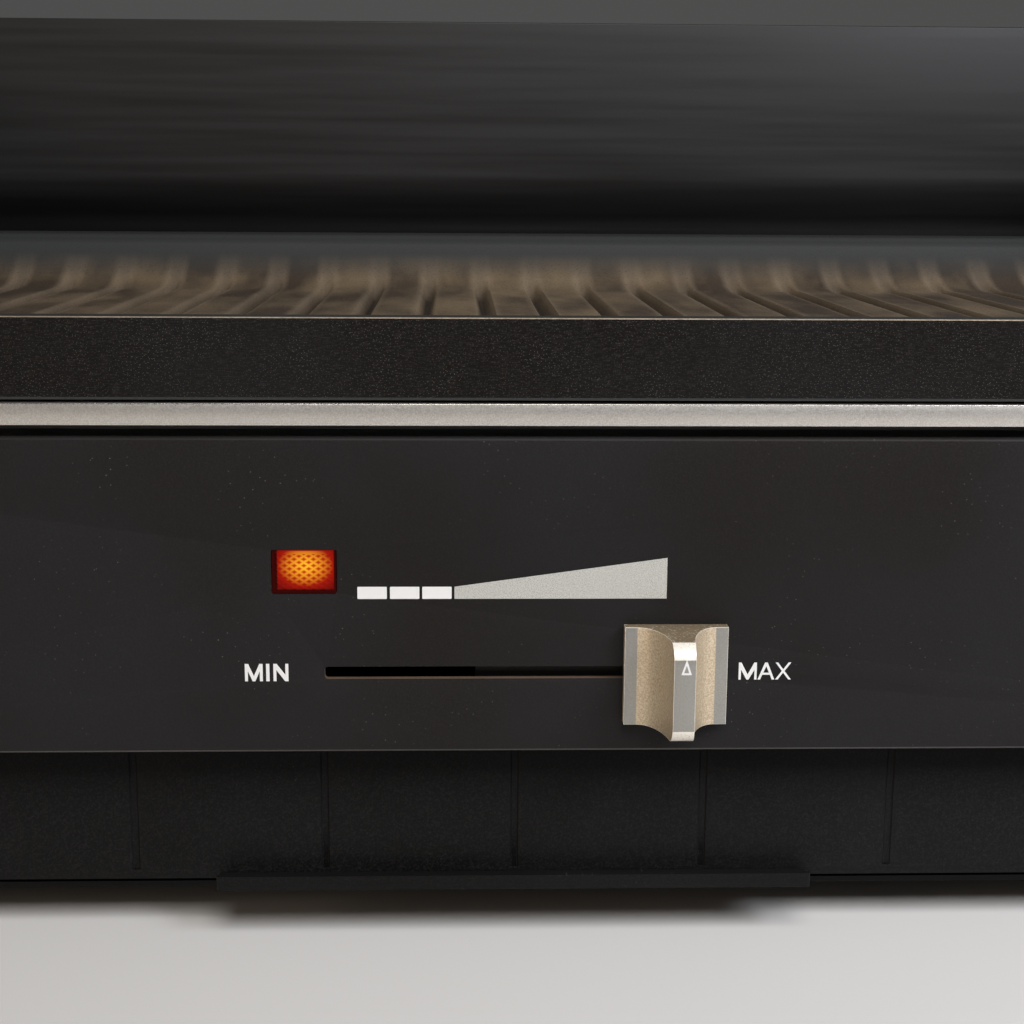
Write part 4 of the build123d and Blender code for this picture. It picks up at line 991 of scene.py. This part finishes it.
# ---- printed marks ----
INK = 0.04 * MM


def ink_face():
    return PANEL_Y - INK


def ink_block(name, x0, x1, z0, z1, material):
    """One printed block of the heat scale."""
    mark = cube(name, (x0 * MM, ink_face(), SLOT_Z + z0 * MM),
                (x1 * MM, PANEL_Y + 0.01 * MM, SLOT_Z + z1 * MM))
    edit_edges(mark, lambda a, b: abs(a.x - b.x) < 1e-6 and abs(a.z - b.z) < 1e-6)
    bpy.ops.mesh.bevel(offset=0.15 * MM, segments=3, affect="EDGES")
    leave()
    dress(mark, material)
    return mark


def ink_letter(letter, left, right, width, low, high):
    """Closed outline of a capital, as points in millimetres; an A comes with its eye."""
    middle, up, slant = (left + right) / 2, high - low, width * 1.12
    if letter == "I":
        return [(left, low), (right, low), (right, high), (left, high)]
    if letter == "M":
        armpit = high - up * 0.42
        return [(left, low), (left + width, low), (left + width, armpit), (middle - slant * 0.4, low),
                (middle + slant * 0.4, low), (right - width, armpit), (right - width, low), (right, low),
                (right, high), (right - slant, high), (middle, low + up * 0.3), (left + slant, high),
                (left, high)]
    if letter == "N":
        return [(left, low), (left + width, low), (left + width, high - up * 0.36), (right - slant, low),
                (right, low), (right, high), (right - width, high), (right - width, low + up * 0.36),
                (left + slant, high), (left, high)]
    if letter == "A":
        bar, top = low + up * 0.28, low + up * 0.28 + width * 0.9
        run = (middle - slant / 2 - left) / up
        inner = left + slant
        at_bar = inner + run * up * 0.28
        at_top = inner + run * (top - low) + 0.03
        outline = [(left, low), (inner, low), (at_bar, bar), (2 * middle - at_bar, bar),
                   (2 * middle - inner, low), (right, low), (middle + slant / 2, high),
                   (middle - slant / 2, high)]
        return outline, [(at_top, top), (2 * middle - at_top, top), (middle, high - up * 0.22)]
    cross = up / 2
    return [(left, low), (left + slant, low), (middle, low + cross - width * 0.75), (right - slant, low),
            (right, low), (middle + slant * 0.52, low + cross), (right, high), (right - slant, high),
            (middle, low + cross + width * 0.75), (left + slant, high), (left, high),
            (middle - slant * 0.52, low + cross)]


def ink_shape(name, points):
    """Flat block of ink with a given outline."""
    bpy.ops.object.select_all(action="DESELECT")
    bpy.ops.mesh.primitive_circle_add(vertices=len(points), radius=1, fill_type="NGON")
    shape = bpy.context.object
    settle(shape, name)
    for point, (x, z) in zip(shape.data.vertices, points):
        point.co = (x * MM, PANEL_Y + 0.01 * MM, SLOT_Z + z * MM)
    lone(shape)
    bpy.ops.object.mode_set(mode="EDIT")
    bpy.ops.mesh.select_all(action="SELECT")
    bpy.ops.mesh.extrude_region_move(TRANSFORM_OT_translate={"value": (0, -(INK + 0.01 * MM), 0)})
    bpy.ops.mesh.select_all(action="SELECT")
    bpy.ops.mesh.normals_make_consistent(inside=False)
    leave()
    return shape


def ink_word(name, letters, width, height):
    """A printed word: each letter has its left and right sides."""
    low, high = 0.1 - height / 2, 0.1 + height / 2
    shapes = []
    for letter, left, right in letters:
        outline = ink_letter(letter, left, right, width, low, high)
        eye = None
        if letter == "A":
            outline, eye = outline
        shape = ink_shape(name, outline)
        if eye:
            hole = ink_shape("eye", eye)
            for point in hole.data.vertices:
                point.co.y += 0.2 * MM if point.co.y > PANEL_Y else -0.2 * MM
            combine(shape, hole)
        shapes.append(shape)
    word = join(*shapes)
    word.name = word.data.name = name
    dress(word, INK_WHITE)
    return word


def heat_scale():
    """Three blocks, then a wedge that rises to the right."""
    low, high = 14.75, 17.15
    marks = []
    for number, left in enumerate((-30.85, -24.6, -18.4), 1):
        marks.append(ink_block(f"scale_block_{number}", left, left + 5.65, low, high, INK_WHITE))
    wedge = cube("scale_wedge", (-12.2 * MM, ink_face(), SLOT_Z + low * MM),
                 (28.8 * MM, PANEL_Y + 0.01 * MM, SLOT_Z + high * MM))
    edit_edges(wedge, lambda a, b: a.x > 28 * MM and b.x > 28 * MM and abs(a.z - b.z) < 1e-6
               and a.z > SLOT_Z + (low + high) / 2 * MM)
    bpy.ops.transform.translate(value=(0, 0, 5.65 * MM))
    leave()
    dress(wedge, INK_GREY)
    marks.append(wedge)
    low_word = (("M", -52.75, -49.3), ("I", -48.65, -48.0), ("N", -47.25, -44.35))
    high_word = (("M", 43.3, 46.85), ("A", 47.05, 50.35), ("X", 50.5, 53.6))
    marks.append(ink_word("word_min", low_word, 0.58, 3.5))
    marks.append(ink_word("word_max", high_word, 0.46, 3.45))
    for mark in marks:
        fit(mark, "base", "panel_paint")


def knob_mark():
    """Small outlined triangle printed on the ridge."""
    bpy.ops.object.select_all(action="DESELECT")
    face = knob_low.y - 0.03 * MM
    bpy.ops.mesh.primitive_cylinder_add(vertices=3, radius=1, depth=0.05 * MM, rotation=(math.pi / 2, 0, 0),
                                        location=(KNOB_X, face + 0.015 * MM, SLOT_Z + 4.8 * MM))
    mark = bpy.context.object
    settle(mark, "knob_triangle")
    xs = [point.co.x for point in mark.data.vertices]
    zs = [point.co.z for point in mark.data.vertices]
    for point in mark.data.vertices:
        point.co.x = KNOB_X + ((point.co.x - min(xs)) / (max(xs) - min(xs)) - 0.5) * 1.95 * MM + 0.25 * MM
        up = (point.co.z - min(zs)) / (max(zs) - min(zs))
        point.co.z = SLOT_Z + (4.15 + 3.0 * up) * MM
    edit_faces(mark, lambda place, normal: abs(normal.y) > 0.9)
    bpy.ops.mesh.inset(thickness=0.36 * MM)
    bpy.ops.mesh.bridge_edge_loops()
    leave()
    dress(mark, INK_WHITE)
    fit(mark, "control", "knob_satin")


heat_scale()
knob_mark()


# ---- stage, camera and light ----
def stage():
    """Pale matt floor under the unit."""
    bpy.ops.object.select_all(action="DESELECT")
    bpy.ops.mesh.primitive_plane_add(size=6, location=(0, 1.0, 0))
    floor = bpy.context.object
    floor.name = "pale_floor"
    made, tree, surface, place = begin("pale_matt_floor", Roughness=0.85)
    tree.links.new(mix(tree, noise(tree, place, 0.4, 3), linear("d9d7d4"), linear("e2e0dd")),
                   surface.inputs["Base Color"])
    dress(floor, made)


def camera():
    """Stands a third of a metre in front of the panel, looking slightly down and to the right."""
    data = bpy.data.cameras.new("camera")
    data.lens = 60
    data.sensor_width = 36
    data.clip_start = 0.01
    eye = bpy.data.objects.new("camera", data)
    bpy.context.scene.collection.objects.link(eye)
    eye.location = (-12.1 * MM, PANEL_Y - 319.2 * MM, SLOT_Z + 96.1 * MM)
    eye.rotation_euler = [math.radians(angle) for angle in (78.6185, -0.3775, -1.8749)]
    bpy.context.scene.camera = eye


def area_light(name, place, aim, size, power, code, spread=180):
    """Square softbox at a place, turned towards its aim."""
    data = bpy.data.lights.new(name, "AREA")
    data.shape = "SQUARE"
    data.size = size
    data.energy = power
    data.spread = math.radians(spread)
    data.color = linear(code)[:3]
    lamp = bpy.data.objects.new(name, data)
    bpy.context.scene.collection.objects.link(lamp)
    lamp.location = place
    run = [b - a for a, b in zip(place, aim)]
    flat = math.hypot(run[0], run[1])
    lamp.rotation_euler = (math.atan2(flat, -run[2]), 0, math.atan2(-run[0], run[1]))


def light():
    """Large key above the front, a cool fill from the right and a warm one from the left."""
    world = bpy.data.worlds.new("soft_studio")
    bpy.context.scene.world = world
    world.use_nodes = True
    back = world.node_tree.nodes["Background"]
    back.inputs["Color"].default_value = linear("ecebea")
    back.inputs["Strength"].default_value = 0.09
    target = (0, PANEL_Y, SLOT_Z)
    area_light("softbox_key", (0.1, -1.0, 1.15), target, 0.7, 12.5, "fffdfa")
    area_light("softbox_right", (0.55, -0.55, 0.6), (0.22, PANEL_Y + 60 * MM, SLOT_Z + 30 * MM), 0.35, 1.35,
               "eef1fa", spread=80)
    area_light("softbox_left", (-0.9, -0.6, 0.3), target, 0.4, 1.4, "ffe4c8")


stage()
camera()
light()
bpy.context.scene.view_settings.view_transform = "Standard"
